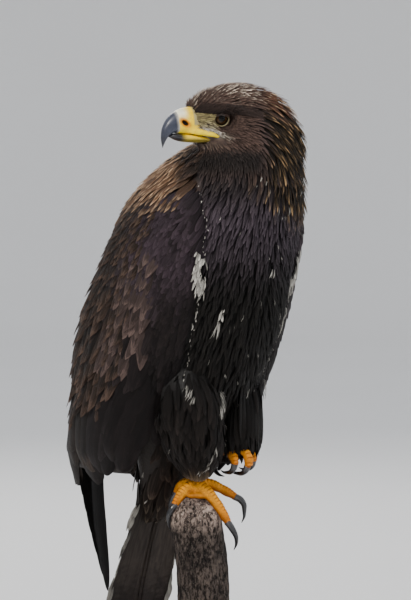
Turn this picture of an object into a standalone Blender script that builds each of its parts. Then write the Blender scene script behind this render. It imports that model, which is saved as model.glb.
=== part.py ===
"""An immature golden eagle at life size, perched on the weathered end of a branch.

The bird stands on its right foot with the left one drawn up under the belly, and looks back
over its right shoulder. A round base and a short rod hold the cut length of branch.
Metres, +Z up. The chest faces -Y, the bird's left is +X and its tail hangs towards +Y.
The origin is the centre of the base's underside.
"""
import math

import bmesh
import bpy
import numpy as np
from mathutils import Matrix, Vector

CM = 0.01
GAP = 0.0004                         # clearance between neighbouring solids

# Driving dimensions
STANCE = Vector((0.0, -0.02, 0.28))  # the point on the perch's top that the bird is measured from
BASE_RADIUS, BASE_HEIGHT = 0.175, 0.024
ROD_RADIUS = 0.006
PERCH_RADIUS = 0.0285
PERCH_LENGTH = 0.205
PERCH_LEAN = (0.03, -0.125)          # how far its foot moves in X and Y per metre down
PERCH_TOP = (-1.2, -0.6)             # where its axis meets the top, in centimetres from STANCE
FOOT_PLACE = (-0.9, -0.9)            # the middle of the standing foot, in centimetres from STANCE
NECK_AXIS = (0.0, -7.9)              # the neck's axis below the head, in centimetres from STANCE
HEAD_TURN = math.radians(105)        # to the bird's right, from straight ahead
EYE_LINE = 40.8                      # height of the eyes over STANCE, in centimetres
EYES_AHEAD = 4.2                     # how far the eyes are ahead of the neck's axis
EYE_RADIUS = 1.02
EYE_PLACE = (0.12, 1.18, 0.0)        # ahead, aside and above the middle of the eye line

BODY_TRIANGLES = 1220               # in trunk, neck and head together, before they are parted


def at(x, y, z):
    """A place given in centimetres from STANCE."""
    return STANCE + Vector((x, y, z)) * CM


HEAD_FORWARD = Vector((-math.sin(HEAD_TURN), -math.cos(HEAD_TURN), 0))
HEAD_LEFT = Vector((0, 0, 1)).cross(HEAD_FORWARD)
EYE_MIDDLE = at(NECK_AXIS[0], NECK_AXIS[1], EYE_LINE) + HEAD_FORWARD * EYES_AHEAD * CM


def in_head(ahead, left, above):
    """A place given in centimetres from the middle of the eye line, in the head's own directions."""
    return EYE_MIDDLE + (HEAD_FORWARD * ahead + HEAD_LEFT * left + Vector((0, 0, above))) * CM


# ---------------------------------------------------------------- shared tools


def clear_scene():
    for obj in list(bpy.data.objects):
        bpy.data.objects.remove(obj)


def material(name, colour, roughness, metallic=0.0):
    made = bpy.data.materials.new(name)
    made.use_nodes = True
    shader = made.node_tree.nodes["Principled BSDF"]
    shader.inputs["Base Color"].default_value = (*colour, 1)
    shader.inputs["Roughness"].default_value = roughness
    shader.inputs["Metallic"].default_value = metallic
    return made


def add_object(name, mesh, finish):
    """A named object with one material, shaded smooth but for its sharp edges."""
    obj = bpy.data.objects.new(name, mesh)
    bpy.context.scene.collection.objects.link(obj)
    mesh.materials.clear()
    mesh.materials.append(finish)
    mesh.shade_smooth()
    mesh.set_sharp_from_angle(angle=math.radians(50))
    return obj


def read_between(rows, places):
    """Smooth curves through rows of numbers, read at places of the first column, without overshoot."""
    rows = np.array(rows, float)
    x, y = rows[:, 0], rows[:, 1:]
    step = np.diff(x)[:, None]
    rise = np.diff(y, axis=0) / step
    slope = np.zeros_like(y)
    same_way = rise[:-1] * rise[1:] > 0
    total = np.where(same_way, rise[:-1] + rise[1:], 1)
    slope[1:-1] = np.where(same_way, 2 * rise[:-1] * rise[1:] / total, 0)
    slope[0], slope[-1] = rise[0], rise[-1]
    places = np.clip(places, x[0], x[-1])
    i = np.clip(np.searchsorted(x, places, side="right") - 1, 0, len(x) - 2)
    h = (x[i + 1] - x[i])[:, None]
    t = ((places - x[i]) / (x[i + 1] - x[i]))[:, None]
    return (
        y[i] * (1 + 2 * t) * (1 - t) ** 2
        + slope[i] * h * t * (1 - t) ** 2
        + y[i + 1] * t * t * (3 - 2 * t)
        + slope[i + 1] * h * t * t * (t - 1)
    )


def even_places(rows, count):
    return np.linspace(rows[0][0], rows[-1][0], count)


def oval(centre, side, up, half_width, above, below, around, squareness=2.0):
    """The points of one cross-section: an oval whose upper and lower halves have their own heights."""
    points = []
    for k in range(around):
        angle = 2 * math.pi * k / around
        s, c = math.sin(angle), math.cos(angle)
        s = math.copysign(abs(s) ** (2 / squareness), s)
        c = math.copysign(abs(c) ** (2 / squareness), c)
        points.append(centre + side * (half_width * s) + up * ((above if c > 0 else below) * c))
    return points


def skin_over(sections, strip_ends=False):
    """A closed mesh through cross-sections that all have the same number of points.

    The ends are fans round a middle point, or strips between the two halves of a curved, flat section.
    """
    shape = bmesh.new()
    rings = [[shape.verts.new(p) for p in section] for section in sections]
    around = len(rings[0])
    for low, high in zip(rings, rings[1:]):
        for k in range(around):
            shape.faces.new((low[k], low[(k + 1) % around], high[(k + 1) % around], high[k]))
    for ring in (rings[0], rings[-1]):
        if strip_ends:
            for k in range(around // 2 - 1):
                shape.faces.new((ring[k], ring[k + 1], ring[-k - 2], ring[-k - 1]))
        else:
            middle = shape.verts.new(sum((v.co for v in ring), Vector()) / around)
            for k in range(around):
                shape.faces.new((ring[k], ring[(k + 1) % around], middle))
    bmesh.ops.recalc_face_normals(shape, faces=shape.faces)
    bmesh.ops.triangulate(shape, faces=shape.faces)
    mesh = bpy.data.meshes.new("shape")
    shape.to_mesh(mesh)
    shape.free()
    return mesh


def tube(path, steps, around, flatness=1.0):
    """A closed tube along a smooth path. Each row of path is a place and a radius, in metres."""
    lengths = [0.0]
    for a, b in zip(path, path[1:]):
        lengths.append(lengths[-1] + (Vector(b[0]) - Vector(a[0])).length)
    rows = [(s, *p, r) for s, (p, r) in zip(lengths, path)]
    read = read_between(rows, even_places(rows, steps))
    centres = [Vector(r[:3]) for r in read]
    side = None
    sections = []
    for i, centre in enumerate(centres):
        along = (centres[min(i + 1, steps - 1)] - centres[max(i - 1, 0)]).normalized()
        if side is None:
            side = along.cross(Vector((0.11, 0.31, 1)))
        side = (side - along * side.dot(along)).normalized()
        radius = read[i][3]
        tall = radius * flatness
        sections.append(oval(centre, side, side.cross(along), radius, tall, tall, around))
    return skin_over(sections)


def ball(centre, radii, turn=None, segments=16, rings=10):
    shape = bmesh.new()
    bmesh.ops.create_uvsphere(shape, u_segments=segments, v_segments=rings, radius=1)
    place = Matrix.Translation(centre) @ (turn or Matrix.Identity(4)) @ Matrix.Diagonal((*radii, 1))
    bmesh.ops.transform(shape, matrix=place, verts=shape.verts)
    bmesh.ops.triangulate(shape, faces=shape.faces)
    mesh = bpy.data.meshes.new("ball")
    shape.to_mesh(mesh)
    shape.free()
    return mesh


def joined(*meshes):
    shape = bmesh.new()
    for mesh in meshes:
        shape.from_mesh(mesh)
    made = bpy.data.meshes.new("joined")
    shape.to_mesh(made)
    shape.free()
    return made


def grown(mesh, by):
    """A copy of a mesh, moved outwards along its normals."""
    shape = bmesh.new()
    shape.from_mesh(mesh)
    shape.normal_update()
    for vert in shape.verts:
        vert.co += vert.normal * by * vert.calc_shell_factor()
    made = bpy.data.meshes.new("grown")
    shape.to_mesh(made)
    shape.free()
    return made


def evaluated(mesh, add_modifiers):
    """The mesh after the modifiers that add_modifiers gives it."""
    obj = bpy.data.objects.new("work", mesh)
    bpy.context.scene.collection.objects.link(obj)
    add_modifiers(obj)
    graph = bpy.context.evaluated_depsgraph_get()
    made = bpy.data.meshes.new_from_object(obj.evaluated_get(graph))
    bpy.data.objects.remove(obj)
    return made


def combined(mesh, other, operation):
    """A Boolean of two closed meshes."""
    tool = bpy.data.objects.new("tool", other)
    bpy.context.scene.collection.objects.link(tool)

    def add(obj):
        modifier = obj.modifiers.new("cut", "BOOLEAN")
        modifier.operation = operation
        modifier.solver = "EXACT"
        modifier.object = tool

    made = evaluated(mesh, add)
    bpy.data.objects.remove(tool)
    return made


def without(mesh, *others, gap=GAP):
    """The mesh cut back from its neighbours, with a thin gap."""
    for other in others:
        mesh = combined(mesh, grown(other, gap), "DIFFERENCE")
    return mesh


def slab(point, normal, thickness, reach=0.6):
    """A wide box on the far side of a plane, for cutting."""
    shape = bmesh.new()
    bmesh.ops.create_cube(shape, size=1)
    turn = normal.to_track_quat("Z", "Y").to_matrix().to_4x4()
    place = Matrix.Translation(point + normal * thickness / 2) @ turn
    size = Matrix.Diagonal((reach, reach, thickness, 1))
    bmesh.ops.transform(shape, matrix=place @ size, verts=shape.verts)
    mesh = bpy.data.meshes.new("slab")
    shape.to_mesh(mesh)
    shape.free()
    return mesh


def tidied(mesh):
    """The mesh without the loose crumbs and the needless flat triangles that a cut can leave."""
    shape = bmesh.new()
    shape.from_mesh(mesh)
    left = set(shape.verts)
    bodies = []
    while left:
        todo = [left.pop()]
        body = set(todo)
        while todo:
            for edge in todo.pop().link_edges:
                for vert in edge.verts:
                    if vert in left:
                        left.discard(vert)
                        body.add(vert)
                        todo.append(vert)
        bodies.append(body)
    keep = max(bodies, key=len)
    bmesh.ops.delete(shape, geom=[v for v in shape.verts if v not in keep], context="VERTS")
    bmesh.ops.remove_doubles(shape, verts=shape.verts, dist=0.00004)
    bmesh.ops.dissolve_limit(shape, angle_limit=math.radians(0.8), verts=shape.verts, edges=shape.edges)
    bmesh.ops.triangulate(shape, faces=shape.faces)
    made = bpy.data.meshes.new("body")
    shape.to_mesh(made)
    shape.free()
    return made


# ---------------------------------------------------------------- trunk, neck and head

# Height, front and back of the trunk along Y, and half its width, in centimetres
TRUNK = [
    (-3.2, 5.6, 8.4, 1.6),
    (-1.0, 4.0, 8.3, 2.7),
    (2.0, 1.8, 8.2, 3.7),
    (5.0, -0.8, 8.6, 4.8),
    (8.0, -3.4, 9.2, 5.9),
    (12.0, -6.2, 10.0, 7.2),
    (16.0, -8.5, 10.6, 8.1),
    (20.0, -10.3, 10.9, 8.6),
    (24.0, -11.2, 10.8, 8.8),
    (28.0, -12.2, 10.1, 8.9),
    (30.0, -12.7, 9.2, 8.8),
    (32.0, -13.2, 7.8, 8.5),
    (34.0, -13.4, 5.8, 7.8),
    (36.0, -13.4, 3.1, 6.8),
    (37.4, -13.2, 0.6, 5.8),
    (38.4, -12.8, -1.4, 4.8),
]
# The same for the neck, up into the head
NECK = [
    (33.0, -13.6, 1.6, 7.0),
    (35.5, -13.6, -0.4, 6.3),
    (37.5, -13.4, -1.8, 5.8),
    (39.5, -13.0, -2.6, 5.3),
    (41.5, -12.0, -3.2, 4.5),
    (43.0, -10.6, -4.6, 3.0),
]
# Ahead of the eyes, top, level of the widest part, bottom and half width of the head
HEAD = [
    (-10.1, -2.2, -3.4, -4.6, 1.5),
    (-9.5, -0.6, -3.0, -5.4, 2.9),
    (-8.4, 1.25, -2.4, -5.8, 3.8),
    (-6.8, 2.75, -1.6, -5.6, 4.3),
    (-5.0, 3.6, -0.9, -5.4, 4.35),
    (-3.0, 3.95, -0.4, -5.0, 3.95),
    (-1.5, 3.85, 0.1, -4.3, 3.4),
    (0.0, 3.5, 0.5, -3.6, 2.75),
    (1.2, 3.05, 0.7, -3.2, 2.2),
    (2.3, 2.3, 0.4, -2.8, 1.7),
    (3.2, 1.45, -0.2, -2.45, 1.25),
    (3.5, 0.9, -0.4, -2.2, 0.95),
]
# The bony ridge over each eye: ahead, aside, above and radius
BROW = [
    (2.75, 1.1, 1.45, 0.32),
    (1.5, 1.95, 1.42, 0.52),
    (0.1, 2.5, 1.25, 0.62),
    (-1.6, 2.9, 0.85, 0.62),
    (-3.4, 3.2, 0.3, 0.4),
]
# Height at the neck's axis and rise towards +X and +Y of the cuts below and above the neck
NECK_CUT = (34.2, 0.0, 0.10)
HEAD_CUT = (36.9, -0.10, 0.21)


def upright_loft(rows, levels, around):
    """A loft whose cross-sections are level ovals, given by their front, back and half width."""
    places = even_places(rows, levels)
    sections = []
    for z, (front, back, half_width) in zip(places, read_between(rows, places)):
        deep = (back - front) / 2
        centre = at(0, (front + back) / 2, z)
        sections.append(
            oval(centre, Vector((1, 0, 0)), Vector((0, 1, 0)), half_width * CM, deep * CM, deep * CM, around)
        )
    return skin_over(sections)


def head_loft():
    places = even_places(HEAD, 30)
    sections = []
    for ahead, (top, wide, bottom, half_width) in zip(places, read_between(HEAD, places)):
        sections.append(
            oval(in_head(ahead, 0, wide), HEAD_LEFT, Vector((0, 0, 1)), half_width * CM, (top - wide) * CM,
                 (wide - bottom) * CM, 32, 2.15)
        )
    return skin_over(sections)


def brow_ridge(side):
    return tube([(in_head(a, side * b, c), r * CM) for a, b, c, r in BROW], 14, 12)


def whole_body():
    """Trunk, neck and head in one closed surface, smoothed where they join."""
    shapes = joined(
        upright_loft(TRUNK, 30, 36),
        upright_loft(NECK, 12, 32),
        head_loft(),
        brow_ridge(1),
        brow_ridge(-1),
    )

    def add(obj):
        fuse = obj.modifiers.new("fuse", "REMESH")
        fuse.mode = "VOXEL"
        fuse.voxel_size = 0.0024
        even = obj.modifiers.new("even", "SMOOTH")
        even.factor = 0.5
        even.iterations = 5

    fused = evaluated(shapes, add)
    triangles = 2 * len(fused.polygons)

    def thin(obj):
        fewer = obj.modifiers.new("fewer", "DECIMATE")
        fewer.ratio = BODY_TRIANGLES / triangles

    return evaluated(fused, thin)


def eyeball(side):
    ahead, aside, above = EYE_PLACE
    return ball(in_head(ahead, side * aside, above), (EYE_RADIUS * CM,) * 3, segments=12, rings=7)


def eye_hollow(side):
    """The shallow hollow that the eye sits in, below the brow."""
    return ball(in_head(0.35, side * 2.75, -0.12), (1.25 * CM, 1.25 * CM, 1.02 * CM), segments=10, rings=6)


def cut_plane(cut):
    height, rise_x, rise_y = cut
    return at(NECK_AXIS[0], NECK_AXIS[1], height), Vector((-rise_x, -rise_y, 1)).normalized()


def make_body(core, bill_cutters, finishes):
    """Trunk, neck and head, parted by thin cuts. The head keeps room for the eyes and the bill."""
    low, low_up = cut_plane(NECK_CUT)
    high, high_up = cut_plane(HEAD_CUT)
    trunk = combined(core, slab(low, low_up, 0.4), "DIFFERENCE")
    neck = combined(core, slab(low + low_up * GAP, -low_up, 0.5), "DIFFERENCE")
    neck = combined(neck, slab(high, high_up, 0.3), "DIFFERENCE")
    head = combined(core, slab(high + high_up * GAP, -high_up, 0.6), "DIFFERENCE")
    for side in (1, -1):
        head = combined(head, eye_hollow(side), "DIFFERENCE")
    eyes = {"eye_left": eyeball(1), "eye_right": eyeball(-1)}
    head = without(head, *eyes.values(), *bill_cutters)
    for name, mesh in eyes.items():
        add_object(name, mesh, finishes["eye"])
    add_object("trunk", tidied(trunk), finishes["dark"])
    add_object("neck", tidied(neck), finishes["gold"])
    add_object("head", tidied(head), finishes["gold"])


# ---------------------------------------------------------------- bill

# Top and bottom point (ahead, above) and half width of the upper bill, from the cere's back to the hook
UPPER_BILL = [
    ((2.5, 1.25), (2.5, -1.66), 1.30),
    ((3.2, 1.22), (3.2, -1.66), 1.22),
    ((4.0, 1.06), (3.95, -1.60), 1.07),
    ((4.8, 0.72), (4.65, -1.56), 0.92),
    ((5.5, 0.18), (5.2, -1.62), 0.76),
    ((6.02, -0.5), (5.55, -1.82), 0.60),
    ((6.34, -1.3), (5.80, -2.12), 0.43),
    ((6.42, -2.1), (6.02, -2.52), 0.27),
    ((6.33, -2.75), (6.17, -2.88), 0.12),
    ((6.25, -3.1), (6.22, -3.12), 0.03),
]
CERE_END = 3                        # the row where the cere gives way to horn
# Ahead, top, bottom and half width of the lower bill
LOWER_BILL = [
    (1.2, -1.95, -2.5, 1.30),
    (2.6, -1.80, -2.52, 1.14),
    (3.8, -1.72, -2.46, 0.96),
    (4.7, -1.70, -2.32, 0.76),
    (5.25, -1.80, -2.16, 0.50),
    (5.5, -1.90, -2.04, 0.22),
]
# The yellow gape flange along each jaw, from the cere back to below the eye: ahead, aside, above, radius
GAPE = [
    (3.9, 0.7, -1.25, 0.2),
    (2.6, 1.2, -1.42, 0.34),
    (1.4, 1.68, -1.64, 0.27),
    (0.35, 1.98, -1.98, 0.1),
]


def upper_bill_loft(first, last, steps, around):
    """The stretch of the upper bill between two places along its rows."""
    rows = [(i, top[0], top[1], low[0], low[1], half) for i, (top, low, half) in enumerate(UPPER_BILL)]
    places = np.linspace(first, last, steps)
    sections = []
    for top_a, top_u, low_a, low_u, half in read_between(rows, places):
        top, low = in_head(top_a, 0, top_u), in_head(low_a, 0, low_u)
        height = (top - low).length
        up = (top - low) / height
        centre = low + up * height * 0.24
        sections.append(
            oval(centre, HEAD_LEFT, up, half * CM, height * 0.76, height * 0.24, around, 2.3)
        )
    return skin_over(sections)


def make_bill(horn, yellow):
    """The horn, the cere with its gape flanges and the lower bill.

    The head is cut back from the meshes it returns.
    """
    horn_mesh = upper_bill_loft(CERE_END + 0.05, len(UPPER_BILL) - 1, 12, 12)
    cere_root = upper_bill_loft(0, CERE_END, 5, 12)
    flanges = [tube([(in_head(a, side * b, c), r * CM) for a, b, c, r in GAPE], 6, 6) for side in (1, -1)]
    cere = cere_root
    for flange in flanges:
        cere = combined(cere, flange, "UNION")
    sections = []
    places = even_places(LOWER_BILL, 9)
    for ahead, (top, bottom, half) in zip(places, read_between(LOWER_BILL, places)):
        middle, deep = (top + bottom) / 2, (top - bottom) / 2
        sections.append(
            oval(in_head(ahead, 0, middle), HEAD_LEFT, Vector((0, 0, 1)), half * CM, deep * CM, deep * CM, 12)
        )
    lower = skin_over(sections)
    add_object("bill_upper", horn_mesh, horn)
    add_object("cere", cere, yellow)
    add_object("bill_lower", lower, horn)
    return [cere_root, *flanges, lower]


# ---------------------------------------------------------------- wings and tail

# Height, centre along Y, half width, front and back radius of the outer face of the folded wings,
# then the leading and the inner edge as angles from the front, and the thickness
WING = [
    (2.4, 3.6, 8.6, 6.0, 12.2, 70, 171, 1.0),
    (4.0, 3.3, 9.6, 6.8, 12.6, 62, 176, 1.7),
    (6.0, 3.0, 10.3, 6.6, 12.5, 55, 178, 2.2),
    (8.4, 2.5, 10.8, 6.0, 12.1, 50, 179, 2.6),
    (11.0, 1.8, 11.0, 5.7, 12.2, 38, 179, 2.9),
    (14.0, 0.9, 11.0, 6.7, 13.2, 34, 179, 3.2),
    (18.0, -0.4, 11.0, 7.4, 13.8, 40, 178.5, 3.4),
    (21.0, -1.3, 10.9, 8.0, 13.5, 42, 174, 3.4),
    (24.0, -2.3, 10.8, 7.7, 12.8, 42, 165, 3.3),
    (28.0, -3.7, 10.5, 7.4, 11.9, 44, 150, 3.1),
    (30.0, -4.3, 10.1, 7.2, 11.2, 48, 141, 2.9),
    (32.0, -5.0, 9.3, 7.1, 10.4, 55, 131, 2.6),
    (33.5, -5.4, 8.5, 7.1, 9.5, 64, 121, 2.2),
    (34.8, -5.8, 7.6, 6.8, 7.6, 74, 108, 1.6),
    (35.6, -6.0, 6.6, 6.0, 6.0, 84, 96, 0.8),
]
WING_BACK_SQUARENESS = 2.6
WING_LEVELS, WING_AROUND = 14, 9
# The folded primaries: place, half width along the blade and half thickness, from under the wing to the tip
PRIMARIES = [
    (-5.5, 10.5, 11.0, 2.3, 0.55),
    (-5.4, 11.0, 6.5, 2.5, 0.6),
    (-5.1, 11.5, 2.0, 2.4, 0.55),
    (-4.5, 11.9, -2.0, 2.1, 0.45),
    (-3.4, 12.2, -7.0, 1.4, 0.34),
    (-2.4, 12.3, -11.5, 0.5, 0.22),
]
PRIMARIES_ACROSS = (-0.93, 0.36)

# Height, centre along Y, half width and half thickness of the closed tail
TAIL = [
    (-16.5, 11.1, 3.2, 0.2),
    (-15.9, 10.9, 4.3, 0.25),
    (-14.5, 10.45, 4.75, 0.28),
    (-11.0, 9.35, 4.6, 0.34),
    (-7.0, 8.1, 4.25, 0.45),
    (-3.0, 6.85, 3.8, 0.62),
    (1.0, 5.6, 3.3, 0.9),
    (4.0, 4.6, 2.9, 1.0),
]


def wing_shell(side):
    """A folded wing: a thick curved shell round the side and back, with a rounded rim."""
    places = even_places(WING, WING_LEVELS)
    power = 2 / WING_BACK_SQUARENESS
    sections = []
    for z, row in zip(places, read_between(WING, places)):
        centre, half_width, front, back, leading, inner, thick = row
        outer, under = [], []
        for k in range(WING_AROUND):
            s = k / (WING_AROUND - 1)
            angle = math.radians(leading + (inner - leading) * s)
            aside, along = math.sin(angle), -math.cos(angle)
            if along > 0:
                place = Vector((side * half_width * aside ** power, back * along ** power, 0))
            else:
                place = Vector((side * half_width * aside, front * along, 0))
            rim = (1 - abs(2 * s - 1) ** 5) ** 0.5
            inwards = -place.normalized()
            outer.append(at(0, centre, z) + (place + inwards * 0.45 * (1 - rim)) * CM)
            under.append(at(0, centre, z) + (place + inwards * (0.55 + (thick - 0.55) * rim)) * CM)
        sections.append(outer + under[::-1])
    return skin_over(sections, strip_ends=True)


def primaries_blade(side):
    rows = [(i, *row) for i, row in enumerate(PRIMARIES)]
    sections = []
    for x, y, z, half_width, half_thick in read_between(rows, even_places(rows, 10)):
        across = Vector((side * PRIMARIES_ACROSS[0], PRIMARIES_ACROSS[1], 0)).normalized()
        outward = Vector((-across.y, across.x, 0))
        sections.append(
            oval(at(side * -x, y, z), across, outward, half_width * CM, half_thick * CM, half_thick * CM, 10)
        )
    return skin_over(sections)


def tail_fan():
    places = even_places(TAIL, 11)
    sections = []
    for z, (y, half_width, half_thick) in zip(places, read_between(TAIL, places)):
        sections.append(
            oval(at(0, y, z), Vector((1, 0, 0)), Vector((0, 1, 0)), half_width * CM, half_thick * CM,
                 half_thick * CM, 14)
        )
    return skin_over(sections)


def make_wings_and_tail(core, dark):
    """Wings cut back from the body, and the primaries and tail from both. Returns the uncut wings."""
    tail = tail_fan()
    add_object("tail", tidied(without(tail, core)), dark)
    shells = {}
    for name, side in (("left", 1), ("right", -1)):
        shell = wing_shell(side)
        wing = without(shell, core, tail)
        flight = without(primaries_blade(side), shell, core, tail)
        add_object(f"wing_{name}", tidied(wing), dark)
        add_object(f"primaries_{name}", tidied(flight), dark)
        shells[name] = shell
    return shells


# ---------------------------------------------------------------- legs and feet

# Place, half width in X and Y of each feathered leg, from the hip down
RIGHT_LEG = [
    (-4.0, 0.5, 16.0, 2.6, 4.6),
    (-4.4, -1.2, 13.0, 4.1, 5.3),
    (-4.0, -2.2, 9.5, 4.0, 4.7),
    (-3.2, -2.3, 6.5, 3.4, 3.9),
    (-2.1, -1.9, 3.9, 2.5, 2.8),
    (-1.2, -1.3, 2.6, 1.6, 1.7),
]
LEFT_LEG = [
    (3.4, 1.4, 16.0, 2.6, 4.6),
    (3.9, -0.4, 13.2, 3.6, 4.7),
    (3.7, -1.4, 10.6, 3.4, 4.0),
    (3.3, -1.9, 8.6, 2.9, 3.2),
    (2.9, -2.0, 6.9, 2.1, 2.3),
    (2.7, -2.0, 6.0, 1.4, 1.5),
]
PERCH_SIDE = Vector((0.707, -0.707, 0))      # the foot's toes are placed across and along the branch's slope
PERCH_FRONT = Vector((-0.707, -0.707, 0))
WEB_TURN = Matrix.Rotation(math.radians(-45), 4, "Z")


def on_perch(aside, front, above):
    return at(FOOT_PLACE[0], FOOT_PLACE[1], above) + (PERCH_SIDE * aside + PERCH_FRONT * front) * CM


def tucked(aside, front, above):
    """A place in the left foot, which hangs closed under the belly."""
    return at(2.7 + aside, -2.0 - front, above + 1.3)


# Toes and claws as paths of aside, front, above and radius, in centimetres
RIGHT_TOES = {
    "outer": (
        [
            (-0.3, 0.2, 1.35, 0.62), (-0.85, 0.5, 1.25, 0.6), (-1.5, 0.8, 0.6, 0.58),
            (-2.05, 1.05, -0.2, 0.52), (-2.4, 1.25, -0.8, 0.4),
        ],
        [
            (-2.3, 1.2, -0.65, 0.42), (-2.75, 1.45, -1.15, 0.4), (-3.05, 1.45, -1.9, 0.3),
            (-3.05, 1.2, -2.7, 0.18), (-2.9, 0.9, -3.4, 0.04),
        ],
    ),
    "middle": (
        [
            (0.1, 0.3, 1.4, 0.68), (0.95, 0.85, 0.8, 0.66), (1.8, 1.2, -0.15, 0.6),
            (2.65, 1.3, -1.4, 0.55), (3.35, 1.1, -2.65, 0.42),
        ],
        [
            (3.25, 1.12, -2.5, 0.42), (3.75, 1.1, -3.2, 0.38), (4.2, 0.9, -4.1, 0.28),
            (4.25, 0.5, -5.0, 0.16), (4.0, 0.1, -5.7, 0.04),
        ],
    ),
    "inner": (
        [
            (0.3, -0.2, 1.5, 0.64), (1.2, -0.45, 1.45, 0.6), (2.4, -0.8, 0.95, 0.55),
            (3.5, -1.05, 0.35, 0.5), (4.2, -1.2, -0.1, 0.4),
        ],
        [
            (4.05, -1.15, 0.0, 0.42), (4.75, -1.3, -0.4, 0.4), (5.15, -1.35, -1.2, 0.3),
            (5.15, -1.35, -2.1, 0.18), (4.85, -1.3, -2.9, 0.04),
        ],
    ),
    "hind": (
        [
            (-0.2, -0.3, 1.5, 0.66), (-1.0, -0.9, 1.45, 0.62), (-1.75, -1.6, 1.0, 0.58),
            (-2.15, -2.2, 0.2, 0.48),
        ],
        [
            (-2.05, -2.05, 0.35, 0.48), (-2.5, -2.6, -0.3, 0.46), (-2.8, -2.8, -1.3, 0.36),
            (-2.6, -2.6, -2.5, 0.24), (-2.15, -2.15, -3.6, 0.05),
        ],
    ),
}
LEFT_TOES = {
    "inner": (
        [
            (-0.3, 0.4, 3.6, 0.56), (-0.9, 1.2, 3.6, 0.56), (-1.25, 2.1, 3.1, 0.52),
            (-1.3, 2.4, 2.3, 0.42),
        ],
        [
            (-1.3, 2.37, 2.45, 0.4), (-1.3, 2.2, 1.95, 0.36), (-1.25, 1.5, 1.45, 0.27),
            (-1.2, 0.7, 1.4, 0.15), (-1.15, 0.1, 1.6, 0.04),
        ],
    ),
    "middle": (
        [
            (0.0, 0.5, 3.7, 0.6), (0.05, 1.5, 3.9, 0.6), (0.1, 2.6, 3.5, 0.56),
            (0.1, 3.1, 2.7, 0.5), (0.1, 2.9, 2.0, 0.4),
        ],
        [
            (0.1, 2.95, 2.15, 0.4), (0.1, 2.6, 1.6, 0.35), (0.1, 1.8, 1.25, 0.26),
            (0.05, 0.9, 1.3, 0.15), (0.0, 0.3, 1.6, 0.04),
        ],
    ),
    "outer": (
        [
            (0.3, 0.4, 3.6, 0.54), (1.0, 1.2, 3.7, 0.54), (1.45, 2.1, 3.3, 0.5),
            (1.6, 2.4, 2.5, 0.4),
        ],
        [
            (1.58, 2.37, 2.65, 0.38), (1.6, 2.2, 2.1, 0.33), (1.55, 1.6, 1.65, 0.24),
            (1.45, 0.9, 1.6, 0.14), (1.35, 0.4, 1.75, 0.04),
        ],
    ),
    "hind": (
        [
            (0.0, -0.3, 3.9, 0.6), (0.0, -1.1, 3.8, 0.58), (0.0, -1.8, 3.3, 0.5),
            (0.0, -2.1, 2.7, 0.42),
        ],
        [
            (0.0, -2.05, 2.85, 0.42), (0.0, -2.25, 2.2, 0.38), (0.0, -1.9, 1.35, 0.28),
            (0.0, -1.2, 0.9, 0.16), (0.0, -0.5, 0.8, 0.04),
        ],
    ),
}


def leg_loft(rows):
    rows = [(i, *row) for i, row in enumerate(rows)]
    sections = []
    for x, y, z, wide, deep in read_between(rows, even_places(rows, 9)):
        sections.append(
            oval(at(x, y, z), Vector((1, 0, 0)), Vector((0, 1, 0)), wide * CM, deep * CM, deep * CM, 14)
        )
    return skin_over(sections)


def make_toes(foot_name, place, toes, neighbours, skin, horn):
    """Each toe is cut back from its neighbours and the toes before it, and each claw from its toe."""
    done = list(neighbours)
    for name, (toe_path, claw_path) in toes.items():
        toe = tube([(place(*p[:3]), p[3] * CM) for p in toe_path], 7, 7)
        claw = tube([(place(*p[:3]), p[3] * CM) for p in claw_path], 7, 6)
        add_object(f"toe_{foot_name}_{name}", tidied(without(toe, *done)), skin)
        done.append(toe)
        add_object(f"claw_{foot_name}_{name}", tidied(without(claw, *done)), horn)


def make_legs(core, wings, perch, finishes):
    right, left = leg_loft(RIGHT_LEG), leg_loft(LEFT_LEG)
    add_object("leg_right", tidied(without(right, core, wings["right"])), finishes["dark"])
    add_object("leg_left", tidied(without(left, core, wings["left"], right)), finishes["dark"])

    pad = ball(on_perch(0.0, 0.15, 0.95), (1.25 * CM, 1.1 * CM, 0.85 * CM), None, 10, 6)
    web = ball(on_perch(0.1, 1.0, 0.35), (1.35 * CM, 0.75 * CM, 0.5 * CM), WEB_TURN, 10, 5)
    shank = tube([(on_perch(0.1, 0.0, 1.0), 0.85 * CM), (on_perch(0.25, -0.1, 2.0), 0.8 * CM),
                  (on_perch(0.25, -0.1, 3.3), 0.9 * CM)], 5, 10)
    foot = combined(combined(pad, shank, "UNION"), web, "UNION")
    add_object("foot_right", tidied(without(foot, perch, right)), finishes["skin"])
    neighbours = [pad, shank, web, perch, right]
    make_toes("right", on_perch, RIGHT_TOES, neighbours, finishes["skin"], finishes["claw"])

    pad = ball(tucked(0, 0.25, 3.7), (1.05 * CM, 1.05 * CM, 0.8 * CM), None, 10, 6)
    shank = tube([(tucked(0, 0.1, 3.8), 0.85 * CM), (tucked(0, 0, 4.8), 0.85 * CM),
                  (tucked(0, 0, 5.6), 0.9 * CM)], 5, 10)
    foot = combined(pad, shank, "UNION")
    add_object("foot_left", tidied(without(foot, left, core)), finishes["skin"])
    make_toes("left", tucked, LEFT_TOES, [pad, shank, left, core], finishes["skin"], finishes["claw"])


# ---------------------------------------------------------------- perch and stand


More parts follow.
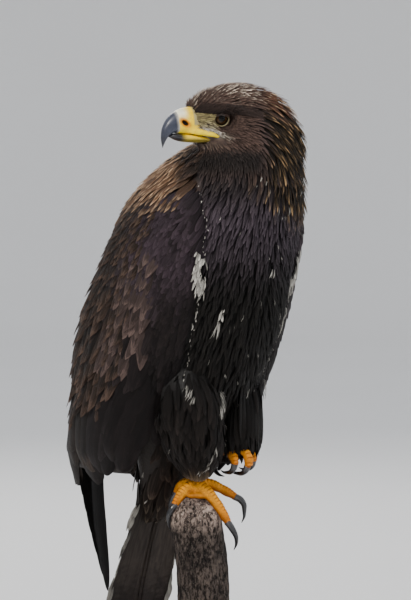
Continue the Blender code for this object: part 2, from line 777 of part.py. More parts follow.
def perch_mesh():
    """A cut length of branch with a rounded, weathered end and a few knots."""
    levels, around = 8, 14
    dome = 3.0 * CM
    sections = []
    heights = [*np.linspace(-PERCH_LENGTH, -dome, levels), *(-dome * np.cos(np.linspace(0.25, 1.48, 4)))]
    for height in heights:
        above_dome = max(0.0, 1 - (height + dome) / dome) if height > -dome else 1.0
        radius = PERCH_RADIUS * math.sqrt(max(0.0, 1 - (1 - above_dome) ** 2))
        lean = Vector((-PERCH_LEAN[0] * height, -PERCH_LEAN[1] * height, height))
        centre = at(PERCH_TOP[0], PERCH_TOP[1], 0.4) + lean
        section = []
        for k in range(around):
            angle = 2 * math.pi * k / around
            lumps = 0.035 * math.sin(3 * angle + 40 * height) + 0.025 * math.sin(5 * angle - 70 * height)
            reach = radius * (1 + lumps)
            section.append(centre + Vector((math.cos(angle), math.sin(angle), 0)) * reach)
        sections.append(section)
    return skin_over(sections)


def disc(radius, low, high, centre, around, edge):
    """An upright round plate or rod with a bevelled rim."""
    sections = []
    for inset, z in ((edge, low), (0, low + edge), (0, high - edge), (edge, high)):
        sections.append(
            oval(Vector((centre[0], centre[1], z)), Vector((1, 0, 0)), Vector((0, 1, 0)), radius - inset,
                 radius - inset, radius - inset, around)
        )
    return skin_over(sections)


def make_stand(wood, metal):
    lean = Vector((PERCH_LEAN[0] * PERCH_LENGTH, PERCH_LEAN[1] * PERCH_LENGTH, -PERCH_LENGTH))
    bottom = at(PERCH_TOP[0], PERCH_TOP[1], 0.4) + lean
    rod = disc(ROD_RADIUS, BASE_HEIGHT + GAP, bottom.z - GAP, (bottom.x, bottom.y), 12, 0.0008)
    base = disc(BASE_RADIUS, 0, BASE_HEIGHT, (0, 0), 32, 0.004)
    add_object("stand_base", base, wood)
    add_object("stand_rod", rod, metal)


def main():
    clear_scene()
    finishes = {
        "dark": material("plumage_brown", (0.045, 0.034, 0.028), 0.75),
        "gold": material("plumage_gold", (0.12, 0.072, 0.036), 0.75),
        "eye": material("eye", (0.05, 0.03, 0.015), 0.1),
        "horn": material("bill_horn", (0.09, 0.1, 0.13), 0.35),
        "yellow": material("cere_yellow", (0.85, 0.6, 0.06), 0.5),
        "skin": material("foot_yellow", (0.72, 0.4, 0.03), 0.6),
        "claw": material("claw_black", (0.02, 0.02, 0.024), 0.35),
        "bark": material("weathered_wood", (0.3, 0.25, 0.21), 0.9),
        "wood": material("stand_wood", (0.12, 0.07, 0.04), 0.5),
        "metal": material("stand_metal", (0.35, 0.35, 0.36), 0.35, 1.0),
    }
    core = whole_body()
    bill_cutters = make_bill(finishes["horn"], finishes["yellow"])
    make_body(core, bill_cutters, finishes)
    wings = make_wings_and_tail(core, finishes["dark"])
    perch = perch_mesh()
    add_object("perch_branch", perch, finishes["bark"])
    make_legs(core, wings, perch, finishes)
    make_stand(finishes["wood"], finishes["metal"])


main()
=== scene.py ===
"""The looks of the perched golden eagle: skin, feathers, bill, eyes, feet, perch and stand.

Shapes are worked out in centimetres from STANCE, the point on the perch's top that the bird's sizes are
measured from, and turned into metres when a mesh is made. The chest faces -Y, the bird's left is +X, and
the head looks back over the right shoulder.
"""
import math

import bmesh
import bpy
import numpy as np
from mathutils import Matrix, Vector
from mathutils.bvhtree import BVHTree
from mathutils.kdtree import KDTree


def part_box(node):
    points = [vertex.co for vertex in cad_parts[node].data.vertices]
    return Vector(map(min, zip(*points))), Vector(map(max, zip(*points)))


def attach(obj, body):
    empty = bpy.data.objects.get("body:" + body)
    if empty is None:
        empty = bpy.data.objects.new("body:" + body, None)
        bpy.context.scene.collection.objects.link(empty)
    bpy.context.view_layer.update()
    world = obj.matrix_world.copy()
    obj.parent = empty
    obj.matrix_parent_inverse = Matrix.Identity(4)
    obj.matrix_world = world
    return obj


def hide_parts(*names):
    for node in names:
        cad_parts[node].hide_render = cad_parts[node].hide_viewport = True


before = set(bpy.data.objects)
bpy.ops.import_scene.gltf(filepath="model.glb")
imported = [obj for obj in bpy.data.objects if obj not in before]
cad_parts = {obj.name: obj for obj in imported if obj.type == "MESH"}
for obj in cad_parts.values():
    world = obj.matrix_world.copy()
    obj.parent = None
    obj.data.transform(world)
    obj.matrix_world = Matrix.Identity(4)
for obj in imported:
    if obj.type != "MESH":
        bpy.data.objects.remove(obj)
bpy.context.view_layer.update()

random = np.random.default_rng(7)
SIDES = {"left": 1, "right": -1}
TOES = ("inner", "middle", "outer", "hind")
FLESH = ["head", "neck", "trunk", "wing_left", "wing_right", "leg_left", "leg_right"]
FOOT_FLESH = [f"foot_{s}" for s in SIDES] + [f"toe_{s}_{t}" for s in SIDES for t in TOES]
STANCE = np.array((0.0, -2.0, 28.0))
HEAD_TURN = math.radians(105)
ALONG_X, ALONG_Y, UP = np.eye(3)
AHEAD = np.array((-math.sin(HEAD_TURN), -math.cos(HEAD_TURN), 0.0))
LEFT = np.cross(UP, AHEAD)
BODY_DOWN = np.array((0.0, 0.34, -0.94))        # the lie of the plumage on the trunk
NECK_AXIS = -7.9                                # where the neck's upright axis is along Y


# ---------------------------------------------------------------- numbers and vectors


def metres(points):
    return (np.asarray(points, float) + STANCE) / 100


def centimetres(points):
    return np.asarray(points, float) * 100 - STANCE


def unit(vectors):
    return vectors / np.maximum(np.linalg.norm(vectors, axis=-1, keepdims=True), 1e-9)


def dot(a, b):
    return (a * b).sum(-1)


def ramp(values, low, high):
    """0 below low, 1 above high, and a smooth rise between them."""
    t = np.clip((np.asarray(values, float) - low) / (high - low), 0, 1)
    return t * t * (3 - 2 * t)


def between(a, b, share):
    """A number between two others."""
    return a + (b - a) * share


def mix(a, b, share):
    """A colour or a place between two others."""
    share = np.asarray(share, float)
    if share.ndim:
        share = share[..., None]
    return a * (1 - share) + b * share


def srgb(red, green, blue):
    """A linear colour from screen values between 0 and 255."""
    c = np.array((red, green, blue), float) / 255
    return np.where(c <= 0.04045, c / 12.92, ((c + 0.055) / 1.055) ** 2.4)


def read_between(rows, places):
    """Smooth curves through rows of numbers, read at places of the first column."""
    rows = np.array(rows, float)
    x, y = rows[:, 0], rows[:, 1:]
    step = np.diff(x)[:, None]
    rise = np.diff(y, axis=0) / step
    slope = np.zeros_like(y)
    same_way = rise[:-1] * rise[1:] > 0
    total = np.where(same_way, rise[:-1] + rise[1:], 1)
    slope[1:-1] = np.where(same_way, 2 * rise[:-1] * rise[1:] / total, 0)
    slope[0], slope[-1] = rise[0], rise[-1]
    places = np.clip(places, x[0], x[-1])
    i = np.clip(np.searchsorted(x, places, side="right") - 1, 0, len(x) - 2)
    h = (x[i + 1] - x[i])[:, None]
    t = ((places - x[i]) / (x[i + 1] - x[i]))[:, None]
    return (
        y[i] * (1 + 2 * t) * (1 - t) ** 2
        + slope[i] * h * t * (1 - t) ** 2
        + y[i + 1] * t * t * (3 - 2 * t)
        + slope[i + 1] * h * t * t * (t - 1)
    )


def in_head(ahead, left, above):
    """A place given in centimetres from the middle of the eye line, in the head's own directions."""
    ahead, left, above = (np.asarray(v, float)[..., None] for v in (ahead, left, above))
    return EYE_MIDDLE + AHEAD * ahead + LEFT * left + UP * above


def head_places(points):
    """Ahead, left and above of places on the head."""
    away = points - EYE_MIDDLE
    return dot(away, AHEAD), dot(away, LEFT), away[..., 2]


def node_middle(name):
    low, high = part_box(name)
    return centimetres((np.array(low) + np.array(high)) / 2)


EYES = {name: node_middle(f"eye_{name}") for name in SIDES}
EYE_MIDDLE = (EYES["left"] + EYES["right"]) / 2


def azimuth(points, axis, side=1):
    """The angle from the front round an upright axis, which stands at axis along Y."""
    return np.arctan2(side * points[..., 0], axis - points[..., 1])


def round_angles(count):
    """Even angles once round."""
    return np.arange(count) / count * 2 * math.pi


def uneven(variation, count):
    """Random factors near 1, as a column."""
    return np.clip(random.normal(1, variation, count), 0.6, 1.4)[:, None]


def tilted(ups, variation):
    """The normals along some feathers, with each feather tilted at random."""
    return unit(ups + random.normal(0, variation, (len(ups), 1, 3)))


# ---------------------------------------------------------------- meshes


def link(obj):
    bpy.context.scene.collection.objects.link(obj)
    return obj


def joined(name, meshes):
    """One mesh made of several."""
    shape = bmesh.new()
    for mesh in meshes:
        shape.from_mesh(mesh)
    made = bpy.data.meshes.new(name)
    shape.to_mesh(made)
    shape.free()
    return made


def fused(meshes, voxel, evening):
    """One even closed surface round some closed meshes, in metres."""
    obj = link(bpy.data.objects.new("work", joined("joined", meshes)))
    fuse = obj.modifiers.new("fuse", "REMESH")
    fuse.mode = "VOXEL"
    fuse.voxel_size = voxel
    even = obj.modifiers.new("even", "SMOOTH")
    even.factor = 0.5
    even.iterations = evening
    graph = bpy.context.evaluated_depsgraph_get()
    made = bpy.data.meshes.new_from_object(obj.evaluated_get(graph))
    bpy.data.objects.remove(obj)
    return made


def read_rows(items, field, kind=float):
    """One field of a mesh's vertices, normals or triangles, as rows of three."""
    flat = np.empty(len(items) * 3, kind)
    items.foreach_get(field, flat)
    return flat.reshape(-1, 3)


def vertices_of(mesh):
    return read_rows(mesh.vertices, "co")


def normals_of(mesh):
    return read_rows(mesh.vertex_normals, "vector")


def triangles_of(mesh):
    mesh.calc_loop_triangles()
    return read_rows(mesh.loop_triangles, "vertices", np.int64)


class Surface:
    """The outside of some nodes, in centimetres, for laying feathers on."""

    tries = 5           # random places tried in each square as wide as the spacing

    def __init__(self, nodes, voxel, evening):
        self.mesh = fused([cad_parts[n].data for n in nodes], voxel, evening)
        self.points = centimetres(vertices_of(self.mesh))
        self.triangles = triangles_of(self.mesh)
        self.tree = BVHTree.FromPolygons(self.points.tolist(), self.triangles.tolist())
        self.normals = unit(normals_of(self.mesh)[self.triangles].mean(1))

    def nearest(self, points):
        """The nearest places on the surface, and its normals there."""
        places = np.empty((len(points), 3))
        faces = np.empty(len(points), np.int64)
        for i, point in enumerate(points.tolist()):
            places[i], _, faces[i], _ = self.tree.find_nearest(point)
        return places, self.normals[faces]

    def cast(self, starts, ways):
        """Where rays first meet the surface, its normals there, and whether each ray meets it."""
        places = np.full(starts.shape, np.nan)
        normals = np.full(starts.shape, np.nan)
        ways = np.broadcast_to(ways, starts.shape)
        for i, (start, way) in enumerate(zip(starts.tolist(), ways.tolist())):
            place, _, face, _ = self.tree.ray_cast(start, way)
            if place is not None:
                places[i] = place
                normals[i] = self.normals[face]
        return places, normals, ~np.isnan(places[:, 0])

    def scatter(self, spacing_at):
        """Places spread over the surface, no nearer to each other than the spacing there."""
        corners = self.points[self.triangles]
        edges = corners[:, 1:] - corners[:, :1]
        area = np.linalg.norm(np.cross(edges[:, 0], edges[:, 1]), axis=1) / 2
        spacing = spacing_at(corners.mean(1))
        wanted = np.where(np.isfinite(spacing), area / spacing**2 * self.tries, 0)
        chosen = np.repeat(np.arange(len(area)), random.poisson(wanted))
        random.shuffle(chosen)
        a, b = random.random((2, len(chosen)))
        over = a + b > 1
        a[over], b[over] = 1 - a[over], 1 - b[over]
        places = corners[chosen, 0] + edges[chosen, 0] * a[:, None] + edges[chosen, 1] * b[:, None]
        return places[far_apart(places, spacing[chosen])]


def point_tree(places):
    tree = KDTree(len(places))
    for i, place in enumerate(places.tolist()):
        tree.insert(place, i)
    tree.balance()
    return tree


def far_apart(places, spacing):
    """Which places to keep so that none is nearer to another than its spacing."""
    tree = point_tree(places)
    dropped = np.zeros(len(places), bool)
    kept = []
    for i, (place, reach) in enumerate(zip(places.tolist(), spacing.tolist())):
        if not dropped[i]:
            kept.append(i)
            for _, other, _ in tree.find_range(place, reach):
                dropped[other] = True
    return np.array(kept, np.int64)


def mesh_from(name, points, quads, attributes=None, patch=None):
    """A smooth mesh object from places in centimetres and four-sided faces."""
    mesh = bpy.data.meshes.new(name)
    mesh.vertices.add(len(points))
    mesh.vertices.foreach_set("co", metres(points).ravel())
    mesh.loops.add(quads.size)
    mesh.loops.foreach_set("vertex_index", quads.ravel().astype(np.int32))
    mesh.polygons.add(len(quads))
    mesh.polygons.foreach_set("loop_start", np.arange(0, quads.size, 4, dtype=np.int32))
    mesh.update(calc_edges=True)
    mesh.shade_smooth()
    give_attributes(mesh, attributes or {})
    if patch is not None:
        layer = mesh.uv_layers.new(name="OFBake")
        layer.uv.foreach_set("vector", patch[quads.ravel()].astype(np.float32).ravel())
    return link(bpy.data.objects.new(name, mesh))


def moved(name, mesh, points, attributes):
    """An object of a mesh whose vertices are moved to places in centimetres and given attributes."""
    mesh.vertices.foreach_set("co", metres(points).ravel())
    mesh.update()
    mesh.shade_smooth()
    mesh.materials.clear()
    give_attributes(mesh, attributes)
    return link(bpy.data.objects.new(name, mesh))


def give_attributes(mesh, attributes):
    """Numbers on the vertices: four columns become a colour, three a vector and one a value."""
    kinds = {4: ("FLOAT_COLOR", "color"), 3: ("FLOAT_VECTOR", "vector"), 1: ("FLOAT", "value")}
    for name, values in attributes.items():
        values = np.asarray(values, np.float32).reshape(len(mesh.vertices), -1)
        kind, field = kinds[values.shape[1]]
        layer = mesh.attributes.new(name, kind, "POINT")
        layer.data.foreach_set(field, values.ravel())


def opaque(colours):
    """Colours with a fourth column of ones."""
    return np.column_stack((colours, np.ones(len(colours))))


def ring_quads(rings, around):
    """Faces of a closed tube of rings of points, with both ends closed by strips of faces."""
    start = np.arange(rings - 1)[:, None] * around
    low = start + np.arange(around)
    following = start + (np.arange(around) + 1) % around
    sides = np.stack((low, following, following + around, low + around), -1).reshape(-1, 4)
    k = np.arange(around // 2 - 1)
    first_end = np.stack((k + 1, k, around - 1 - k, around - 2 - k), -1)
    last_end = first_end[:, ::-1] + (rings - 1) * around
    return np.concatenate((sides, first_end, last_end))


def loft(name, sections, attributes=None):
    """A closed mesh object through an array of cross-sections, in centimetres."""
    sections = np.asarray(sections, float)
    rings, around = sections.shape[:2]
    obj = mesh_from(name, sections.reshape(-1, 3), ring_quads(rings, around), attributes)
    outwards(obj.data)
    return obj


def outwards(mesh):
    """Turns a closed mesh's faces to point out."""
    shape = bmesh.new()
    shape.from_mesh(mesh)
    bmesh.ops.recalc_face_normals(shape, faces=shape.faces)
    shape.to_mesh(mesh)
    shape.free()


def solid(rings):
    """A closed mesh, in metres, through rings of places."""
    rings = np.asarray(rings)
    count, around = rings.shape[:2]
    mesh = bpy.data.meshes.new("solid")
    mesh.from_pydata(metres(rings.reshape(-1, 3)).tolist(), [], ring_quads(count, around).tolist())
    outwards(mesh)
    return mesh


def oval_ring(centre, side, up, half_width, above, below, around, squareness=2.0):
    """Places round an oval that reaches above and below its centre, from a circle to nearly a square."""
    angle = np.arange(around) * 2 * math.pi / around
    s, c = np.sin(angle), np.cos(angle)
    s = np.sign(s) * np.abs(s) ** (2 / squareness)
    c = np.sign(c) * np.abs(c) ** (2 / squareness)
    tall = np.where(c > 0, above, below)
    return centre + np.outer(s * half_width, side) + np.outer(c * tall, up)


def level_rings(profile, middle, around):
    """Level circles from rows of radius and height."""
    return np.array([
        oval_ring(np.array((*middle, height)), ALONG_X, ALONG_Y, radius, radius, radius, around)
        for radius, height in profile
    ])


def along_path(path, steps):
    """Even steps along a smooth path whose rows are x, y, z and radius: the runs, places and radii."""
    path = np.array(path, float)
    lengths = np.concatenate(([0], np.cumsum(np.linalg.norm(np.diff(path[:, :3], axis=0), axis=1))))
    runs = np.linspace(0, lengths[-1], steps)
    rows = read_between(np.column_stack((lengths, path)), runs)
    return runs, rows[:, :3], rows[:, 3]


def tube_rings(path, steps, around, flatness=1.0):
    """The rings of a tube along a smooth path whose rows are x, y, z and radius."""
    _, centres, radii = along_path(path, steps)
    along = unit(np.gradient(centres, axis=0))
    side = unit(np.cross(along[0], (0.11, 0.31, 1)))
    rings = []
    for centre, way, radius in zip(centres, along, radii):
        side = unit(side - way * dot(side, way))
        tall = radius * flatness
        rings.append(oval_ring(centre, side, np.cross(side, way), radius, tall, tall, around))
    return np.array(rings)


def place_piece(obj, finish, slot, *nodes):
    """Gives a piece its material and its body, and hides the nodes that it replaces."""
    obj.data.materials.append(finish)
    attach(obj, "root")
    if nodes:
        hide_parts(*nodes)


# ---------------------------------------------------------------- materials


class Finish:
    """A material under construction, with short calls for the nodes that these finishes share."""

    def __init__(self, name, **shader_values):
        self.material = bpy.data.materials.new(name)
        self.material.use_nodes = True
        self.tree = self.material.node_tree
        self.shader = self.tree.nodes["Principled BSDF"]
        for key, value in shader_values.items():
            self.shader.inputs[key.replace("_", " ")].default_value = value

    def add(self, kind, inputs=None, **settings):
        """The outputs of a new shader node. An input is a value or another node's output."""
        made = self.tree.nodes.new("ShaderNode" + kind)
        for key, value in settings.items():
            setattr(made, key, value)
        for key, value in (inputs or {}).items():
            if isinstance(value, bpy.types.NodeSocket):
                self.tree.links.new(value, made.inputs[key])
            else:
                made.inputs[key].default_value = value
        return made.outputs

    def attribute(self, name):
        return self.add("Attribute", attribute_name=name)

    def place(self):
        return self.add("TexCoord")["Object"]

    def parts(self, vector):
        return self.add("SeparateXYZ", {0: vector})

    def join(self, x, y, z):
        return self.add("CombineXYZ", {0: x, 1: y, 2: z})[0]

    def math(self, operation, a, b=0.0, c=0.0):
        return self.add("Math", {0: a, 1: b, 2: c}, operation=operation)[0]

    def plus(self, a, b):
        return self.math("ADD", a, b)

    def times(self, a, b):
        return self.math("MULTIPLY", a, b)

    def span(self, value, low, high, out_low=0.0, out_high=1.0):
        """A smooth step of a value from one range to another."""
        inputs = {"Value": value, "From Min": low, "From Max": high, "To Min": out_low, "To Max": out_high}
        return self.add("MapRange", inputs, interpolation_type="SMOOTHSTEP")[0]

    def vary(self, noise, low, high):
        """Numbers from low to high over the range that a noise mostly keeps to."""
        return self.span(noise, 0.3, 0.7, low, high)

    def texture(self, kind, vector, scale, inputs, **settings):
        """A texture of one scale, or of a scale for each direction."""
        if np.ndim(scale):
            vector = self.add("VectorMath", {0: vector, 1: scale}, operation="MULTIPLY")[0]
            scale = 1.0
        return self.add(kind, {"Vector": vector, "Scale": scale, **inputs}, **settings)[0]

    def noise(self, vector, scale, detail=3.0, roughness=0.55):
        return self.texture("TexNoise", vector, scale, {"Detail": detail, "Roughness": roughness})

    def cells(self, vector, scale, feature="F1"):
        return self.texture("TexVoronoi", vector, scale, {}, feature=feature)

    def blend(self, share, a, b):
        """A colour between two others."""
        a, b = (v if isinstance(v, bpy.types.NodeSocket) else (*v, 1) for v in (a, b))
        return self.add("Mix", {0: share, 6: a, 7: b}, data_type="RGBA", clamp_factor=True)[2]

    def dim(self, colour, amount):
        """A colour times a changing number."""
        return self.add("VectorMath", {0: colour, "Scale": amount}, operation="SCALE")[0]

    def bump(self, height, depth, strength, under=None):
        inputs = {"Height": height, "Distance": depth, "Strength": strength}
        if under is not None:
            inputs["Normal"] = under
        return self.add("Bump", inputs)[0]

    def set(self, **links):
        for key, value in links.items():
            self.tree.links.new(value, self.shader.inputs[key.replace("_", " ")])
        return self.material


SHAFT = (0.012, 0.009, 0.007)           # the dark of a feather's shaft


def plumage_finish(name, sheen, roughness, barbs):
    """Feathers: each one's own colour and tip, a shaft, barbs, worn edges, and painted shade on the hidden
    root half.
    """
    f = Finish(name, Roughness=roughness, Sheen_Roughness=0.5, Sheen_Weight=sheen, Specular_IOR_Level=0.1)
    tint, tip = f.attribute("tint"), f.attribute("tip")
    along, across, chance = f.parts(f.attribute("vane")["Vector"])
    aside = f.math("ABSOLUTE", across)
    run = f.times(along, tip["Alpha"])
    own = f.times(chance, 60)
    ragged = f.noise(f.join(run, across, own), 2.2)
    streaks = f.noise(f.join(f.times(run, 0.35), f.times(across, 2.6), own), 1.6)
    reach = f.plus(along, f.times(f.plus(ragged, -0.5), 0.4))
    reach = f.plus(reach, f.times(f.plus(streaks, -0.5), 0.5))
    tipped = f.span(reach, tint["Alpha"], f.plus(tint["Alpha"], 0.25))
    colour = f.blend(tipped, tint["Color"], tip["Color"])
    colour = f.blend(f.span(aside, 0.55, 1.0, 0.0, 0.35), colour, tip["Color"])
    colour = f.blend(f.span(aside, 0.03, 0.09, 0.3, 0.0), colour, SHAFT)
    phase = f.math("SUBTRACT", f.times(run, barbs), f.times(aside, 5.0))
    wave = f.math("SINE", f.plus(f.times(phase, 6.283), f.times(ragged, 6.0)))
    light = f.math("MULTIPLY_ADD", wave, 0.06, 1.0)
    light = f.times(light, f.vary(streaks, 0.72, 1.25))
    # Painted shade: each feather is darkened towards its root, where the feathers over it cover it.
    light = f.times(light, f.span(along, 0.0, 0.6, 0.5, 1.0))
    light = f.times(light, f.math("MULTIPLY_ADD", chance, 0.5, 0.75))
    normal = f.bump(wave, 0.0001, 0.4, f.bump(streaks, 0.0005, 0.5))
    return f.set(Base_Color=f.dim(colour, light), Normal=normal)


# ---------------------------------------------------------------- feathers


PATCH_HALF = (0.0015, 0.0015)           # half the size of a small feather's place on the bake map
# Places along feathers, as shares of the length, and the half widths there, as shares of the widest
STATIONS_5 = (0, 0.35, 0.66, 0.88, 1.0)
ROUND_5 = (0.45, 0.95, 1.0, 0.62, 0.1)
POINTED_5 = (0.6, 1.0, 0.86, 0.42, 0.05)
STATIONS_6 = (0, 0.28, 0.55, 0.78, 0.93, 1.0)
ROUND_6 = (0.35, 0.85, 1.0, 0.9, 0.55, 0.1)
POINTED_6 = (0.5, 0.95, 1.0, 0.72, 0.34, 0.05)
STATIONS_8 = (0, 0.18, 0.36, 0.54, 0.7, 0.84, 0.94, 1.0)
ROUND_8 = (0.3, 0.72, 0.94, 1.0, 0.96, 0.78, 0.48, 0.08)
POINTED_8 = (0.4, 0.8, 1.0, 0.98, 0.82, 0.55, 0.28, 0.05)
FLIGHT_STATIONS = np.concatenate((np.linspace(0, 0.86, 15), (0.91, 0.95, 0.98, 1.0)))
FLIGHT_SHAPE = np.concatenate((np.linspace(0.55, 1.0, 6), np.ones(7), (0.97, 0.92, 0.8, 0.64, 0.42, 0.12)))


class Coat:
    """One piece of the coat: many feathers in a single mesh."""

    def __init__(self, name, finish, bake_place, slot="plumage_dark", replaced=()):
        self.name, self.finish, self.bake_place = name, finish, bake_place
        self.slot, self.replaced = slot, replaced
        self.rows = {key: [] for key in ("points", "quads", "vane", "tint", "tip", "patch")}
        self.count = 0

    def add(self, places, normals, half_widths, thickness, colours, around=6, camber=0.25,
            patch_half=PATCH_HALF, patches=None):
        """Feathers along centre lines of places, with half widths at each place.

        colours are tint, tip and the share of the length where the tip colour starts.
        """
        count, steps = places.shape[:2]
        along = unit(np.gradient(places, axis=1))
        side = unit(np.cross(along, normals))
        up = np.cross(side, along)
        across, lift = section_shape(around)
        s = np.linspace(0, 1, steps)
        thin = np.broadcast_to(thickness, count)[:, None] * (1 - 0.55 * s)
        rise = lift * thin[..., None] - camber * across**2 * half_widths[..., None]
        wide = side[:, :, None] * across[:, None] * half_widths[..., None, None]
        first = self.count + np.arange(count)[:, None, None] * steps * around
        chance = random.random(count)[:, None, None]
        length = np.linalg.norm(np.diff(places, axis=1), axis=2).sum(1)
        tint, tip = (np.broadcast_to(colour, (count, 3)) for colour in colours[:2])
        start = np.broadcast_to(colours[2], count)
        middles = self.bake_place(places[:, 0]) if patches is None else patches
        patch_u = middles[:, 0, None, None] + across * patch_half[0]
        patch_v = middles[:, 1, None, None] + (s[:, None] * 2 - 1) * patch_half[1]
        new_rows = {
            "points": places[:, :, None] + wide + up[:, :, None] * rise[..., None],
            "quads": ring_quads(steps, around) + first,
            "vane": np.stack(np.broadcast_arrays(s[:, None], across, chance), -1),
            "tint": np.repeat(np.column_stack((tint, start)), steps * around, axis=0),
            "tip": np.repeat(np.column_stack((tip, length)), steps * around, axis=0),
            "patch": np.stack(np.broadcast_arrays(patch_u, patch_v), -1),
        }
        for key, rows in new_rows.items():
            self.rows[key].append(rows.reshape(-1, rows.shape[-1]))
        self.count += count * steps * around

    def add_long(self, line, ups, half_widths, thickness, colours, around, camber, patch_half_width, patch):
        """One long feather, whose own upright strip of the bake map is centred on patch."""
        self.add(line[None], ups[None], half_widths[None], thickness, colours, around, camber,
                 (patch_half_width, 0.45), np.array(((patch, 0.5),)))

    def finish_piece(self):
        made = {key: np.concatenate(rows) for key, rows in self.rows.items()}
        attributes = {key: made[key] for key in ("vane", "tint", "tip")}
        obj = mesh_from(self.name, made["points"], made["quads"], attributes, made["patch"])
        obj.data.set_sharp_from_angle(angle=math.radians(75))
        print(f"{self.name}: {2 * len(obj.data.polygons)} triangles")
        place_piece(obj, self.finish, self.slot, *self.replaced)


def section_shape(around):
    """A leaf-like cross-section: places across from -1 to 1, and heights over its middle."""
    top = np.linspace(-1, 1, around // 2 + 1)
    across = np.concatenate((top, top[-2:0:-1]))
    lift = np.concatenate((1 - top**2, -(1 - top[-2:0:-1] ** 2))) / 2
    return across, lift


def outline(shape, half_width, ragged=0.1):
    """Half widths along feathers, each a little uneven."""
    factors = 1 + random.normal(0, ragged, (len(half_width), len(shape)))
    return np.array(shape)[None] * half_width[:, None] * np.clip(factors, 0.6, 1.4)


def follow(surface, roots, flow, lengths, stations, sway):
    """Centre lines that start at the roots and run along a surface, and its normals there.

    flow is a direction, or a function that gives the direction at each place. stations are shares of the
    length, and sway is each line's own turn from the flow.
    """
    places = np.empty((len(roots), len(stations), 3))
    normals = np.empty_like(places)
    here, normal = surface.nearest(roots)
    cos, sin = np.cos(sway)[:, None], np.sin(sway)[:, None]
    for k, station in enumerate(stations):
        places[:, k], normals[:, k] = here, normal
        if k + 1 < len(stations):
            way = flow(here) if callable(flow) else flow
            way = unit(way - normal * dot(way, normal)[:, None])
            way = way * cos + np.cross(normal, way) * sin
            step = (stations[k + 1] - station) * lengths
            here, normal = surface.nearest(here + way * step[:, None])
    return places, normals


def sunk(places, normals, stations, depth, lift):
    """Centre lines whose roots lie deep and whose tips reach the surface, or stand out from it by lift."""
    s = np.array(stations)[:, None]
    depth, lift = (np.broadcast_to(v, len(places))[:, None, None] for v in (depth, lift))
    return places + normals * (lift * s**2 - depth * (1 - s) ** 1.4)


def hang(lines, stations, length, share):
    """Bends feathers away from what they lie on, to hang straight down."""
    fall = lines[:, :1] - UP * (np.array(stations)[:, None] * length[:, None, None])
    share = np.broadcast_to(share, length.shape)[:, None, None]
    return lines * (1 - share) + fall * share


# ---------------------------------------------------------------- the lie and the markings of the coat


GAPE_TOP = ((0.2, -1.8), (1.4, -1.36), (2.6, -1.06), (3.3, -0.95))     # ahead and above
FACE_END = 3.12                         # how far ahead the feathers reach along the cere


def face_shares(points):
    """How far each place is from the eye seen from the side, and where it is on the head."""
    ahead, left, above = head_places(points)
    eye_ahead, _, eye_above = head_places(EYES["left"])
    return np.hypot(ahead - eye_ahead, above - eye_above), ahead, left, above


def neck_turn(points):
    """The angle round the neck's axis from the middle of the throat, in degrees."""
    middle = -105 * ramp(points[..., 2], 24, 41)
    return (np.degrees(azimuth(points, NECK_AXIS)) - middle + 180) % 360 - 180


def body_flow(points):
    """Which way the feathers of the head, neck and trunk point."""
    eye_far, ahead, left, above = face_shares(points)
    from_bill = unit(points - in_head(2.9, 0, 0.1))
    weight = ramp(np.hypot(ahead - 2.9, above), 3.5, 10.5)[:, None] * 1.5
    head = from_bill - UP * weight
    from_eye = points - np.where((left > 0)[:, None], EYES["left"], EYES["right"])
    push = ramp(-eye_far, -2.2, -1.1)[:, None] * 1.2
    head = unit(head) + unit(from_eye) * push * (ahead < 0.6)[:, None]
    share = ramp(points[:, 2], 32.5, 38)[:, None]
    aside = np.sign(points[:, :1]) * 0.12 * ramp(-points[:, 1:2], 2, 9) * ALONG_X
    return unit(head) * share + (BODY_DOWN + aside) * (1 - share)


CROWN = srgb(80, 63, 55)
CROWN_TIP = srgb(190, 174, 156)
RUFOUS = srgb(90, 59, 43)
HACKLE = srgb(24, 18, 12)
HACKLE_TIP = srgb(116, 93, 64)
CHEEK = srgb(76, 60, 53)
BROW = srgb(44, 34, 30)
LORES = srgb(166, 153, 106)
LORES_LOW = srgb(190, 182, 154)
WHITE = srgb(222, 217, 206)
THROAT = srgb(34, 29, 27)
BREAST_HIGH = srgb(60, 52, 58)
BREAST = srgb(17, 15, 13)
BELLY = srgb(16, 13, 11)
MANTLE = srgb(34, 26, 21)
MANTLE_TIP = srgb(64, 50, 42)
SHOULDER = srgb(108, 79, 58)
SHOULDER_TIP = srgb(188, 156, 124)
VENT = srgb(40, 33, 29)
PALE_CROWN = 0.6                        # the share of the crown's dark feathers, among white-tipped ones


